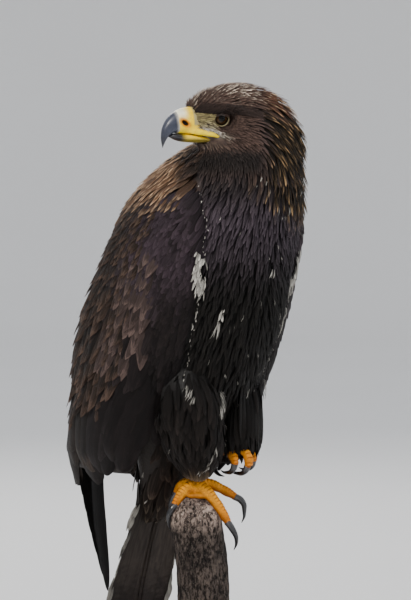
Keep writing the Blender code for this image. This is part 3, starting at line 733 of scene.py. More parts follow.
def body_zones(points):
    """How much each place belongs to each part of the plumage, from 0 to 1."""
    eye_far, ahead, left, above = face_shares(points)
    height = points[:, 2]
    turn = np.abs(neck_turn(points))
    side = np.abs(left)
    head = ramp(above, -6.0, -4.6)
    hackle = ramp(-ahead, 1.9, 3.4) * head
    hackle = np.maximum(hackle, ramp(turn, 38, 54) * ramp(height, 30.0, 34.0) * (1 - head))
    face = head * (1 - hackle)
    corner = np.exp(-(((ahead - 0.55) / 0.36) ** 2) - (((above + 1.75) / 0.3) ** 2))
    under_bill = np.exp(-(((ahead - 1.6) / 0.9) ** 2) - (((above + 2.58) / 0.1) ** 2))
    brow = head * ramp(above, 0.35, 0.7) * ramp(-above, -1.5, -1.05) * ramp(ahead, -3.4, -2.0)
    lores = ramp(ahead, 0.95, 1.5) * ramp(-above, -0.95, -0.55) * ramp(above, -2.1, -1.7)
    lores = lores * ramp(side, 0.5, 0.9)
    shoulder = ramp(-points[:, 0], 2.4, 4.0) * ramp(height, 32.0, 34.4) * ramp(turn, 24, 40)
    return {
        "breast_high": ramp(height, 22.5, 32.5),
        "belly": ramp(-height, -22, -12),
        "back": ramp(points[:, 1], -3, 3) * ramp(-height, -36, -30),
        "vent": ramp(-height, -7, 1) * ramp(points[:, 1], 0, 4),
        "shoulder": shoulder * (1 - head),
        "throat": ramp(height, 31, 36) * (1 - hackle) * (1 - head),
        "hackle": hackle,
        "face": face,
        "chin": face * ramp(-above, 2.5, 3.4),
        "crown": head * ramp(above, 1.0, 2.2) * ramp(ahead, -8.0, -5.5),
        "crown_top": head * ramp(above, 1.9, 2.7) * ramp(-ahead, -1.6, -0.4) * ramp(ahead, -4.0, -2.0),
        "rufous": head * ramp(above, 0.8, 2.2) * ramp(-ahead, 2.6, 5.0) * ramp(ahead, -9.0, -7.0),
        "brow": brow * ramp(side, 0.9, 1.5),
        "lores": lores,
        "lores_low": lores * ramp(-above, 0.0, 1.2) * 0.8,
        "white": np.clip(corner * 0.6 + under_bill * 0.15, 0, 1),
        "by_eye": ramp(-eye_far, -1.75, -1.2) * ramp(side, 0.8, 1.2),
    }


# Parts of the plumage with their tint and tip colour, each laid over those before it
ZONE_COLOURS = (
    ("back", MANTLE, MANTLE_TIP),
    ("vent", VENT, srgb(96, 86, 74)),
    ("hackle", HACKLE, HACKLE_TIP),
    ("shoulder", SHOULDER, SHOULDER_TIP),
    ("throat", THROAT, THROAT * 2.0),
    ("face", CHEEK, CHEEK * 1.5),
    ("chin", THROAT, THROAT * 1.7),
    ("crown", CROWN, CROWN * 2.0),
    ("rufous", RUFOUS, RUFOUS * 2.2),
)
FACE_COLOURS = (
    ("brow", BROW, BROW * 1.5),
    ("lores", LORES, LORES * 1.4),
    ("white", srgb(160, 152, 132), srgb(226, 221, 208)),
    ("lores_low", LORES_LOW, LORES_LOW * 1.3),
)
# Parts of the plumage with their feathers' length, and the half width as a share of it
ZONE_SIZES = (
    ("back", 4.2, 0.13),
    ("vent", 4.6, 0.1),
    ("throat", 1.7, 0.075),
    ("hackle", 3.0, 0.05),
    ("shoulder", 2.6, 0.07),
    ("face", 1.0, 0.07),
    ("chin", 0.95, 0.075),
    ("crown", 1.1, 0.05),
    ("crown_top", 0.95, 0.052),
    ("brow", 0.75, 0.08),
    ("lores", 0.85, 0.026),
    ("white", 0.36, 0.06),
    ("by_eye", 0.42, 0.09),
)


def paint(marks, share, tint, tip):
    """Tints and tip colours with others laid over them."""
    return mix(marks[0], tint, share), mix(marks[1], tip, share)


def body_marks(points):
    """Tint, tip colour and tip start of the feathers of the head, neck and trunk."""
    zone = body_zones(points)
    tint = mix(mix(BREAST, BREAST_HIGH, zone["breast_high"]), BELLY, zone["belly"])
    marks = tint, tint * 1.6
    start = between(0.6, 0.5, zone["hackle"])
    chance = random.random(len(points))
    for name, *colours in ZONE_COLOURS:
        marks = paint(marks, zone[name], *colours)
    tint, tip = marks
    hackle = zone["hackle"] * (1 - zone["shoulder"])
    tip = mix(tip, tip * 0.3, hackle * (chance < 0.6))
    tip = mix(tip, tip * 2.0, hackle * (chance > 0.76))
    tip = mix(tip, CROWN_TIP * 0.9, zone["crown"] * (chance > 0.8))
    pale = zone["crown_top"] * (chance > PALE_CROWN)
    marks = paint((tint, tip), pale, CROWN_TIP * 0.35, CROWN_TIP * 1.9)
    start = between(start, 0.45, pale)
    pale = zone["rufous"] * (1 - zone["crown_top"]) * (chance > 0.75)
    marks = paint(marks, pale, srgb(112, 82, 60), srgb(206, 174, 136))
    for name, *colours in FACE_COLOURS:
        marks = paint(marks, zone[name], *colours)
    tint, tip = paint(marks, zone["lores"] * (chance > 0.72), CHEEK, CHEEK * 1.6)
    return tint * uneven(between(0.13, 0.34, zone["lores"]), len(points)), tip, start


def body_size(points):
    """The length of the feathers of the head, neck and trunk, and their half width as a share of it."""
    ahead, _, above = head_places(points)
    zone = body_zones(points)
    length = between(2.2, 3.2, ramp(-points[:, 2], -26, -12))
    share = np.full(len(points), 0.058)
    for name, size, width in ZONE_SIZES:
        length = between(length, size, zone[name])
        share = between(share, width, zone[name])
    forehead = ramp(ahead, 0.5, 2.4) * ramp(above, 0.3, 0.9)
    nape = ramp(-ahead, 2.8, 6.0) * ramp(above, -5, -2)
    return between(between(length, 0.7, forehead), 2.3, nape), share


def bare_face(points):
    """Where no feather grows: the eyes, the cere, the gape and the bill."""
    eye_far, ahead, left, above = face_shares(points)
    gape_top = np.interp(ahead, *np.transpose(GAPE_TOP))
    mouth = (ahead > 0.2) & (above < gape_top) & (above > -2.45) & (np.abs(left) < 2.6)
    eye = (eye_far < 0.82) & (np.abs(left) > 1.0) & (above < 0.62)
    return mouth | eye | (ahead > FACE_END) | ((ahead > 2.3) & (above < -1.0))


def wing_axis(height):
    """The middle, along Y, of the level sections of the folded wings."""
    return 4.3 - 0.29 * np.asarray(height, float)


def bake_round_body(points):
    """Where a root lies on the body's skin when that is unrolled round its upright axis."""
    around = azimuth(points, wing_axis(points[:, 2])) / (2 * math.pi) + 0.5
    return np.column_stack((0.01 + 0.98 * around, 0.01 + 0.98 * (points[:, 2] + 18) / 64))


def bake_round_head(points):
    """Where a root lies on the head's skin when that is unrolled round the line from nape to bill."""
    ahead, left, above = head_places(points)
    around = np.arctan2(left, above + 0.6) / (2 * math.pi) + 0.5
    return np.column_stack((0.01 + 0.98 * around, 0.01 + 0.98 * (ahead + 11) / 15))


def hidden_under(points, normals, covers):
    """Whether each place is well under one of the covering surfaces."""
    aside = np.cross(normals, UP) * 2.0
    under = np.zeros(len(points), bool)
    for cover in covers:
        met = [cover.cast(points + normals * 0.05 + shift, normals)[2]
               for shift in (0.0, UP * 2.5, -UP * 2.5, aside, -aside)]
        under |= np.all(met, axis=0)
    return under


# ---------------------------------------------------------------- the face


def make_brows(face, finish):
    """The dark feathered ridges that overhang the eyes, and the fine pale bristles up the forehead."""
    coat = Coat("coat_brows", finish, bake_round_head, "plumage_gold")
    arch = np.array((0.3, 0.9, 1.0, 0.8, 0.6))[:, None]
    for side in SIDES.values():
        for level, reach in ((1.0, 0.08), (0.86, 0.14), (0.72, 0.18), (0.58, 0.2), (0.46, 0.16)):
            ahead = np.arange(3.0, -2.9, -0.12)
            ahead = ahead + random.uniform(-0.05, 0.05, len(ahead))
            droop = 0.14 * ramp(-ahead, 0.4, 2.2) - 0.12 * ramp(ahead, 1.0, 2.6)
            roots = in_head(ahead, side * 4.0, level - droop + random.normal(0, 0.025, len(ahead)))
            places, _, met = face.cast(roots, -LEFT * side)
            ahead, places, n = ahead[met], places[met], met.sum()
            out = reach * ramp(ahead, -2.9, -1.0) * ramp(-ahead, -3.0, -2.0)
            out = out * (1 + 0.5 * np.exp(-((ahead / 0.9) ** 2)))
            length = random.uniform(0.7, 1.1, n)
            lines, ups = follow(face, places, body_flow, length, STATIONS_5, random.normal(0, 0.08, n))
            away = LEFT * side * 0.95 - UP * 0.1
            lines = lines + away * out[:, None, None] * arch
            widths = outline(POINTED_5, length * 0.085)
            coat.add(lines, unit(ups + away * 0.4), widths, 0.05, (BROW, BROW * 2.2, 0.65))
    n = 26
    above = np.linspace(1.15, 2.9, n)
    roots = in_head(np.interp(above, (1.15, 2.0, 2.9), (3.0, 2.3, 1.3)), random.normal(0.1, 0.5, n), above)
    length = random.uniform(0.5, 0.9, n)
    lines, ups = follow(face, roots, body_flow, length, STATIONS_5, random.normal(0, 0.16, n))
    lines = lines + ups * np.linspace(0.2, 0.36, 5)[:, None]
    colours = (CROWN_TIP * 0.8, CROWN_TIP * 1.5, 0.3)
    coat.add(lines, ups, outline(POINTED_5, length * 0.045), 0.016, colours, 4)
    coat.finish_piece()


def make_gape_bristles(face, finish):
    """Whitish bristles along the upper edge of the gape and behind its corner."""
    coat = Coat("coat_gape_bristles", finish, bake_round_head, "plumage_gold")
    along_edge, by_corner = 80, 26
    for side in SIDES.values():
        ahead = random.uniform(0.6, 2.4, along_edge)
        above = np.interp(ahead, *np.transpose(GAPE_TOP)) + random.uniform(0.02, 0.26, along_edge)
        ahead = np.concatenate((ahead, random.uniform(0.35, 0.85, by_corner)))
        above = np.concatenate((above, -1.6 + random.uniform(-0.3, 0.2, by_corner)))
        places, _, met = face.cast(in_head(ahead, side * 4.5, above), -LEFT * side)
        n = met.sum()
        length = random.uniform(0.25, 0.5, n)
        sway = random.normal(0.1 * side, 0.25, n)
        lines, ups = follow(face, places[met], body_flow, length, STATIONS_5, sway)
        lines = lines + ups * np.linspace(0.0, 0.12, 5)[:, None]
        tone = random.uniform(0.45, 1.0, (n, 1))
        colours = (srgb(204, 192, 172) * tone, srgb(232, 224, 212) * tone, 0.4)
        coat.add(lines, ups, outline(POINTED_5, length * 0.05), 0.018, colours, 4)
    coat.finish_piece()


# ---------------------------------------------------------------- head, neck and trunk


# The slot of each piece of the coat, whether it is on the head, and which roots it takes: by place, ahead,
# left and above
BODY_PIECES = {
    "coat_face_left": ("plumage_gold", True, lambda p, a, l, u: (a > -3.6) & (u > -5.3) & (l > 0)),
    "coat_face_right": ("plumage_gold", True, lambda p, a, l, u: (a > -3.6) & (u > -5.3) & (l <= 0)),
    "coat_nape": ("plumage_gold", True, lambda p, a, l, u: (a <= -3.6) & (u > -5.3)),
    "coat_neck": ("plumage_gold", False, lambda p, a, l, u: (u <= -5.3) & (p[2] > 27)),
    "coat_breast": ("plumage_dark", False, lambda p, a, l, u: (p[2] <= 27) & (p[2] > 17) & (p[1] < 2.5)),
    "coat_belly": ("plumage_dark", False, lambda p, a, l, u: (p[2] <= 17) & (p[1] < 2.5)),
    "coat_vent": ("plumage_dark", False, lambda p, a, l, u: (p[2] <= 27) & (p[1] >= 2.5)),
}


def body_spacing(points):
    """Spacing of the feathers' roots, close enough for about three to lie over each place."""
    length, share = body_size(points)
    spacing = np.sqrt(2.0 * share * length * length * 0.8 / 3.4)
    return np.where(bare_face(points), np.inf, spacing)


def make_body_coats(body, covers, finish):
    """The feathers of the face, the nape, the neck, the breast, the belly and the vent."""
    roots = body.scatter(body_spacing)
    places, normals = body.nearest(roots)
    roots = roots[~hidden_under(places, normals, covers)]
    eye_far, ahead, left, above = face_shares(roots)
    size, share = body_size(roots)
    in_front = (ahead > 0.1) & (np.abs(left) > 1.0) & (above < 0.62)
    room = np.where(in_front, np.maximum(eye_far - 0.9, 0.16), 9.0)
    length = np.minimum(size, room) * random.uniform(0.8, 1.2, len(roots))
    zone = body_zones(roots)
    forehead = ramp(ahead, 0.9, 2.4) * ramp(above, 0.9, 1.5)
    pointed_share = np.clip(zone["hackle"] + zone["crown"] + zone["shoulder"] + zone["lores"], 0, 1)
    tint, tip, start = body_marks(roots)
    for name, (slot, on_head, inside) in BODY_PIECES.items():
        piece = inside(roots.T, ahead, left, above)
        coat = Coat(name, finish, bake_round_head if on_head else bake_round_body, slot)
        stations = STATIONS_5 if on_head else STATIONS_6
        shapes = (ROUND_5, POINTED_5) if on_head else (ROUND_6, POINTED_6)
        for pointed, shape in enumerate(shapes):
            part = piece & ((pointed_share > 0.5) == pointed)
            if not part.any():
                continue
            n, long = part.sum(), length[part]
            sway = random.normal(0, 0.09 if on_head else 0.14, n)
            lines, ups = follow(body, roots[part], body_flow, long, stations, sway)
            lift = 0.05 * long * random.uniform(0.2, 1.8, n) * (1 + zone["hackle"][part])
            lift = lift + 0.34 * forehead[part] * random.uniform(0.3, 1.3, n)
            lines = sunk(lines, ups, stations, np.clip(0.2 * long, 0.08, 0.5), lift)
            ups = tilted(ups, 0.12)
            widths = outline(shape, long * share[part] * random.uniform(0.75, 1.25, n))
            colours = (tint[part], tip[part], start[part])
            coat.add(lines, ups, widths, np.clip(0.016 * long, 0.014, 0.045), colours, 4)
        coat.finish_piece()


def make_apron(outside, finish):
    """The belly's longest feathers, which hang over the drawn-up left foot."""
    def spacing(points):
        x, y, z = points.T
        return np.where((x > 0.6) & (x < 6.8) & (y < -1.0) & (z >= 6.6) & (z <= 12.0), 0.5, np.inf)

    roots = outside.scatter(spacing)
    n = len(roots)
    length = np.clip(roots[:, 2] - 4.3 + random.normal(0, 0.5, n), 2.4, 5.6)
    down = np.array((0.0, -0.1, -1.0))
    lines, ups = follow(outside, roots, down, length, STATIONS_6, random.normal(0, 0.1, n))
    lines = sunk(hang(lines, STATIONS_6, length, 0.85), ups, STATIONS_6, 0.3, 0.2)
    factors = uneven(0.15, n)
    ups = tilted(ups, 0.1)
    coat = Coat("coat_apron", finish, bake_round_body)
    colours = (BELLY * factors, BELLY * 1.6 * factors, 0.6)
    coat.add(lines, ups, outline(ROUND_6, length * 0.07), 0.05, colours)
    coat.finish_piece()


def make_mantle(shoulders, finish):
    """The mantle and scapulars: long soft feathers from the neck's root over the wings' tops and the back."""
    def size(points):
        return np.interp(points[:, 2], (12, 24, 36), (5.6, 4.4, 2.6))

    def spacing(points):
        height = points[:, 2]
        behind = points[:, 1] > wing_axis(height) + 0.5
        top = (height > 33.4) & (np.abs(np.degrees(azimuth(points, NECK_AXIS))) > 96)
        there = (behind | top) & (height >= 13) & (height <= 38.5)
        return np.where(there, 0.17 * size(points), np.inf)

    roots = shoulders.scatter(spacing)
    places, normals = shoulders.nearest(roots)
    front = (places[:, 1] < wing_axis(places[:, 2]) - 0.5) & (normals[:, 2] < 0.45)
    roots = roots[~front]
    n = len(roots)
    height = roots[:, 2]
    length = size(roots) * random.uniform(0.8, 1.2, n)
    aside = np.array((0.5, 0.1, 0.0)) * np.sign(roots[:, :1]) * ramp(height, 32.5, 35)[:, None]
    flow = np.array((0.0, 0.45, -0.9)) + aside
    lines, ups = follow(shoulders, roots, flow, length, STATIONS_8, random.normal(0, 0.1, n))
    lines = sunk(lines, ups, STATIONS_8, 0.4, 0.04 * length * random.uniform(0.5, 1.8, n))
    ups = tilted(ups, 0.08)
    gold = ramp(height + random.normal(0, 0.6, n), 32.4, 35.4) * ramp(np.abs(neck_turn(roots)), 20, 40)
    factors = uneven(0.15, n)
    tint, tip = mix(MANTLE, SHOULDER, gold) * factors, mix(MANTLE_TIP, SHOULDER_TIP, gold) * factors
    coat = Coat("coat_mantle", finish, bake_round_body)
    widths = outline(POINTED_8, length * between(0.15, 0.065, gold))
    coat.add(lines, ups, widths, np.clip(0.014 * length, 0.03, 0.07), (tint, tip, 0.6))
    coat.finish_piece()


SEEN_RIGHT = np.array((math.sqrt(0.5), -math.sqrt(0.5), 0.0))
SEEN_TOWARDS = np.array((-math.sqrt(0.5), -math.sqrt(0.5), 0.0))
# Height and aside of the wing's white leading edge, as it lies seen from the front right
WING_EDGE = [
    (33.4, 0.3), (31.6, 0.62), (30.0, 0.95), (28.9, 1.15), (27.7, 0.55), (26.6, 0.85), (25.9, 0.5),
    (23.0, 0.3), (20.0, -0.1), (18.7, -0.4), (17.6, -0.76), (16.0, -0.87), (14.3, -0.98), (13.3, -1.44),
]
# White flecks, seen the same way: aside, height, length, half width and how many feathers
FLECKS = [
    (0.35, 26.1, 1.1, 0.16, 7), (0.2, 25.0, 1.4, 0.2, 8), (0.4, 23.9, 1.5, 0.17, 7),
    (0.3, 22.9, 1.2, 0.14, 5), (-0.1, 20.5, 0.8, 0.1, 3), (-0.4, 19.1, 0.6, 0.08, 2),
    (2.7, 20.4, 0.8, 0.12, 9), (2.35, 19.5, 1.9, 0.09, 8), (7.6, 26.2, 0.6, 0.06, 1),
    (7.9, 25.0, 1.1, 0.07, 2), (8.5, 27.6, 1.0, 0.04, 1), (5.1, 20.3, 0.9, 0.05, 1),
    (3.6, 18.9, 0.8, 0.04, 1), (2.6, 30.6, 0.5, 0.05, 1), (3.6, 31.3, 0.5, 0.04, 1),
    (4.7, 28.8, 0.6, 0.04, 1), (7.3, 34.0, 0.5, 0.06, 2), (6.8, 34.6, 0.4, 0.06, 2),
    (7.6, 33.3, 0.5, 0.05, 2), (6.4, 33.8, 0.4, 0.05, 1), (8.6, 31.4, 0.9, 0.05, 2),
    (8.9, 30.7, 0.8, 0.05, 2), (6.7, 21.4, 0.5, 0.04, 1), (8.7, 19.1, 0.5, 0.04, 1),
    (3.0, 13.8, 0.6, 0.06, 2), (5.3, 16.0, 0.5, 0.04, 1), (6.5, 16.1, 0.5, 0.04, 1),
    (1.4, 15.5, 0.7, 0.04, 1), (5.1, 12.9, 0.5, 0.05, 1), (5.2, 11.6, 0.5, 0.05, 1),
    (6.1, 11.8, 0.4, 0.05, 1), (2.9, 8.1, 0.5, 0.05, 1), (2.45, 11.7, 1.8, 0.09, 8),
    (2.5, 10.3, 1.5, 0.12, 9), (-1.0, 12.5, 0.9, 0.05, 8), (-0.6, 12.0, 1.1, 0.05, 10),
    (-0.3, 11.4, 1.0, 0.05, 6), (2.0, 5.8, 1.2, 0.05, 3), (1.7, 4.8, 1.3, 0.06, 4),
    (1.2, 3.9, 1.1, 0.06, 4), (0.3, 3.2, 0.7, 0.06, 4), (-5.8, 2.6, 0.9, 0.1, 2),
    (-5.5, -0.6, 0.7, 0.08, 2), (-14.4, 4.2, 0.6, 0.12, 2), (-2.9, 5.5, 0.5, 0.05, 2),
    (4.0, 7.8, 0.4, 0.05, 1), (3.7, 6.4, 0.4, 0.05, 1), (4.9, 6.4, 0.4, 0.05, 1),
]


def make_flecks(outside, finish):
    """White feathers: the flecked leading edge of the wing, the breast's flecks and the thigh's streaks."""
    rows = [(np.interp(z, *np.transpose(WING_EDGE[::-1])), z, 0.34, 0.07, 1)
            for z in np.arange(13.3, 33.5, 0.42) if random.random() < 0.8]
    feathers = []
    for aside, height, length, half, count in rows + FLECKS:
        large = half > 0.12
        count = count * 3 if large and height > 20 else count
        around = 0.1 + (0.014 if large else 0.008) * count
        feathers.append((
            aside + random.normal(0, around * 0.55, count),
            height + random.normal(0, around, count),
            length * random.uniform(0.35, 1.1, count),
            half * random.uniform(0.2, 0.75, count),
        ))
    aside, height, length, half = (np.concatenate(v) for v in zip(*feathers))
    coat = Coat("coat_flecks", finish, bake_round_body)
    starts = SEEN_RIGHT * aside[:, None] + SEEN_TOWARDS * 40 + UP * height[:, None]
    down = BODY_DOWN + ALONG_Y * 0.1
    arch = np.array((-0.14, 0, 0.03, 0.03, -0.02))[:, None]
    for mirrored in SIDES.values():
        flip = np.array((mirrored, 1, 1))
        places, _, met = outside.cast(starts * flip, -SEEN_TOWARDS * flip)
        n = met.sum()
        sway = random.normal(0, 0.22, n)
        lines, ups = follow(outside, places[met], down, length[met], STATIONS_5, sway)
        lines = lines + ups * (0.16 + 0.1 * random.random((n, 1, 1))) + ups * arch
        white = WHITE * random.uniform(0.3, 1.05, (n, 1))
        coat.add(lines, ups, outline(POINTED_5, half[met], 0.2), 0.025, (white, white * 0.8, 0.7), 4)
    coat.finish_piece()


# ---------------------------------------------------------------- wings


COVERT = srgb(46, 37, 42)
COVERT_LOW = srgb(23, 18, 18)
PALE_COVERT = srgb(52, 42, 39)
PALE_EDGE = srgb(84, 69, 64)
FLIGHT = srgb(8, 6, 6)
TERTIAL = srgb(18, 14, 12)
SCAPULAR = srgb(25, 20, 17)
CLEAR_OF_WING = 30                      # a distance from the wings' axis that is outside the bird
LINE_REACH, ROW_REACH = 11.5, 11.0      # about how far the wing's outside is from that axis


def wing_marks(height, angle):
    """Tint, tip colour and tip start on a folded wing, by height and angle from the front."""
    # Darker down the wing: partly the flight feathers' own darker colour, partly painted shade.
    tint = mix(COVERT, COVERT_LOW, ramp(-height, -28, -22))
    tint = mix(tint, FLIGHT, ramp(-height, -20, -13))
    back = ramp(angle, 100, 122)
    tint = mix(tint, SCAPULAR, back * ramp(height, 12, 18))
    tint = mix(tint, TERTIAL, back * ramp(-height, -16, -10))
    worn = random.random(len(height))
    tint = mix(tint, TERTIAL, ramp(worn, 0.6, 1.0) * 0.6)
    tip = mix(tint * 1.5, srgb(92, 78, 68), ramp(worn, 0.55, 1.0) * back * 0.7)
    start = 0.66 + random.uniform(-0.08, 0.14, len(height))
    return tint * uneven(0.14, len(height)), tip, start


def wing_rows(top, bottom, row_gap, gap, first, last):
    """Staggered rows of heights and angles, row_gap apart, with places gap apart in a row, in centimetres."""
    step = math.degrees(gap / ROW_REACH)
    heights, angles = [], []
    for i, level in enumerate(np.arange(top, bottom, -row_gap)):
        row = np.arange(first + (i % 2) * step / 2, last, step)
        heights.append(level + random.uniform(-0.22, 0.22, len(row)) * row_gap)
        angles.append(row + random.uniform(-0.22, 0.22, len(row)) * step)
    return np.concatenate(heights), np.concatenate(angles)


class Wing:
    """The outside of one folded wing, by height and by angle from the front, in degrees."""

    def __init__(self, name, side):
        self.name, self.side = name, side
        self.surface = Surface([f"wing_{name}"], 0.0025, 4)

    def cast(self, height, angle):
        """Places on the wing, its normals there, and whether it reaches there."""
        turn = np.radians(angle)
        out = np.stack((self.side * np.sin(turn), -np.cos(turn), np.zeros_like(turn)), -1)
        middle = np.stack((np.zeros_like(turn), wing_axis(height), height), -1)
        return self.surface.cast(middle + out * CLEAR_OF_WING, -out)

    def front_edge(self):
        """A function that gives the angle of the wing's front edge at each height."""
        heights = np.arange(3.0, 35.4, 0.5)
        angles = np.arange(28.0, 110.0, 1.0)
        grid_height, grid_angle = np.meshgrid(heights, angles, indexing="ij")
        met = self.cast(grid_height.ravel(), grid_angle.ravel())[2].reshape(grid_height.shape)
        first = np.where(met.any(1), angles[met.argmax(1)], 90.0)
        return lambda height: np.interp(height, heights, first)

    def bake_place(self, points):
        turn = azimuth(points, wing_axis(points[:, 2]), self.side) / math.pi
        return np.column_stack((0.02 + 0.96 * np.clip(turn, 0, 1), 0.02 + 0.96 * (points[:, 2] + 2) / 40))

    def lines(self, height, angle, lengths, slant, stations):
        """Centre lines that run down the wing, turning to the back by slant, in degrees.

        Where a line runs off the wing's edge, it goes on the way it was going.
        """
        places = np.empty((len(height), len(stations), 3))
        normals = np.empty_like(places)
        slant = np.radians(slant)
        for k, station in enumerate(stations):
            run = station * lengths
            turn = np.degrees(run * np.sin(slant) / LINE_REACH)
            place, normal, met = self.cast(height - run * np.cos(slant), angle + turn)
            if k:
                before = places[:, k - 1]
                step = (station - stations[k - 1]) * lengths
                way = unit(before - places[:, max(k - 2, 0)] + BODY_DOWN * 0.001)
                leap = np.linalg.norm(place - before, axis=1) > step * 2 + 0.2
                good = (met & ~leap)[:, None]
                place = np.where(good, place, before + way * step[:, None])
                normal = np.where(good, normal, normals[:, k - 1])
            places[:, k], normals[:, k] = place, normal
        return places, normals

    def add(self, coat, height, angle, length, share, slant, depth, roll, shape=ROUND_8, stations=STATIONS_8,
            around=6, lift=0.04, colours=None):
        """Feathers with roots at heights and angles. share is the half width as a share of the length."""
        spots = np.broadcast_arrays(height, angle, length, slant)
        met = self.cast(spots[0], spots[1])[2]
        height, angle, length, slant = (values[met] for values in spots)
        n = len(height)
        slant = slant + random.normal(0, 5.0, n)
        length = length * random.uniform(0.85, 1.15, n)
        lines, ups = self.lines(height, angle, length, slant, stations)
        lines = sunk(lines, ups, stations, depth, lift * random.uniform(0.4, 2.0, n))
        aside = unit(np.cross(unit(np.gradient(lines, axis=1)), ups)) * self.side
        tilt = math.radians(roll) + random.normal(0, 0.08, (n, 1, 1))
        ups = ups * np.cos(tilt) + aside * np.sin(tilt)
        widths = outline(shape, length * share * random.uniform(0.85, 1.15, n), 0.06)
        marks = wing_marks(height, angle)
        if colours is not None:
            factors = uneven(0.12, n)
            marks = (colours[0] * factors, colours[1] * factors, marks[2])
        coat.add(lines, ups, widths, np.clip(0.012 * length, 0.025, 0.07), marks, around)


def make_wing(wing, finish):
    """The coverts, secondaries and tertials of one folded wing."""
    edge_at = wing.front_edge()
    small = Coat(f"coat_wing_{wing.name}", finish, wing.bake_place)
    large = Coat(f"flight_wing_{wing.name}", finish, wing.bake_place)

    # Secondaries and tertials, each over the one in front of it
    angle = np.linspace(40, 172, 25)
    hem = np.interp(angle, (40, 50, 62, 72, 180), (10.0, 7.6, 4.0, 2.2, 1.5))
    hem = hem + random.uniform(0, 0.8, len(angle))
    slant = np.interp(angle, (40, 70, 115, 175), (24, 14, 2, 0))
    wing.add(large, 16.8, angle, 16.5 - hem, 0.12, slant, 0.5, 7, FLIGHT_SHAPE, FLIGHT_STATIONS, 8)

    # Greater and median coverts
    for top, reach, share, gap in ((20.6, 8.2, 0.1, 0.85), (22.6, 6.4, 0.11, 0.8), (24.6, 5.2, 0.12, 0.75)):
        height, angle = wing_rows(top, top - 0.1, 1.0, gap, 34, 178)
        height = height + random.uniform(-0.5, 0.5, len(height))
        slant = np.interp(angle, (40, 80, 120), (22, 12, 2))
        wing.add(large, height, angle, reach, share, slant, 0.45, 6, around=8)

    # Lesser coverts over the front and the shoulder
    height, angle = wing_rows(35.4, 24.5, 0.5, 0.55, 34, 132)
    size = np.interp(height, (24, 34), (3.2, 2.0))
    slant = np.interp(angle - edge_at(height), (0, 40), (26, 8))
    wing.add(small, height, angle, size, 0.14, slant, 0.42, 3, ROUND_6, STATIONS_6)
    height, angle = wing_rows(24.4, 13.5, 0.55, 0.55, 34, 74)
    near = angle - edge_at(height) < np.interp(height, (13, 24), (9, 28))
    wing.add(small, height[near], angle[near], 2.6, 0.14, 22.0, 0.36, 3, ROUND_6, STATIONS_6)

    # Long worn pointed feathers, paler than the rest, down the middle of the wing
    for level in np.arange(28.4, 18.0, -1.5):
        angle = np.arange(81, 106, 3.4) + random.uniform(-1.2, 1.2, 8)
        height = level + random.uniform(-0.8, 0.8, len(angle))
        size = np.interp(level, (18, 28), (6.6, 4.4))
        wing.add(small, height, angle, size, 0.165, 9.0, 0.3, 4, POINTED_8, lift=0.13,
                 colours=(PALE_COVERT, PALE_EDGE))
    small.finish_piece()
    large.finish_piece()


# ---------------------------------------------------------------- primaries and tail


# The folded wing tip's middle line and half width
PRIMARY_LINE = [
    (-5.5, 10.5, 11.0, 2.3),
    (-5.4, 11.0, 6.5, 2.5),
    (-5.1, 11.5, 2.0, 2.4),
    (-4.5, 11.9, -2.0, 2.1),
    (-3.4, 12.2, -7.0, 1.4),
    (-2.4, 12.3, -11.5, 0.5),
]
PRIMARY_ACROSS = np.array((-0.93, 0.36, 0.0))
PRIMARY_ROOT = 10.5
PRIMARY_TIPS = (-11.3, -9.6, -7.4, -5.0, -2.6, -0.6)
PRIMARY_POINT = np.array((0.92, 0.8, 0.66, 0.5, 0.32, 0.08))
PRIMARY = srgb(24, 20, 19)


def strip_middle(i, count, first=0.0, last=1.0):
    """The middle of one of some upright strips, side by side between two places on the bake map."""
    return first + (i + 0.5) / count * (last - first)


def make_primaries(name, side, finish):
    """The folded wing tip: long stiff feathers whose tips step back from the longest."""
    coat = Coat(f"primaries_{name}_vanes", finish, None, replaced=(f"primaries_{name}",))
    rows = [(-z, x, y, half) for x, y, z, half in PRIMARY_LINE]
    across = PRIMARY_ACROSS * np.array((side, 1, 1))
    outward = np.array((-across[1], across[0], 0))
    outward = outward * np.sign(outward[1])
    count = len(PRIMARY_TIPS)
    for i, tip in enumerate(PRIMARY_TIPS):
        heights = PRIMARY_ROOT + (tip - PRIMARY_ROOT) * FLIGHT_STATIONS
        x, y, wide = read_between(rows, -heights).T
        line = np.column_stack((-side * x, y, heights))
        shift = (i / (count - 1) - 0.35) * 0.55 * wide
        line = line - across * shift[:, None] * 0.8 + outward * (i * 0.2 - 0.45)
        half = FLIGHT_SHAPE * np.minimum(wide * 0.8, 1.5)
        half[-6:] = half[-7] * PRIMARY_POINT
        coat.add_long(line, np.broadcast_to(outward, line.shape), half, 0.09, (PRIMARY, PRIMARY * 0.8, 0.8),
                      8, 0.12, 0.06, strip_middle(i, count))
    coat.finish_piece()


TAIL_BASE = srgb(60, 53, 48)
TAIL_BAND = srgb(36, 31, 29)
TAIL_WHITE = srgb(196, 192, 182)
# The first and last share of the length, the width and the brightness of each pale step
TAIL_STEPS = ((0.26, 0.42, 0.7, 1.0), (0.42, 0.56, 0.5, 0.35), (0.56, 0.7, 0.16, 0.5), (0.7, 0.93, 0.55, 0.6))


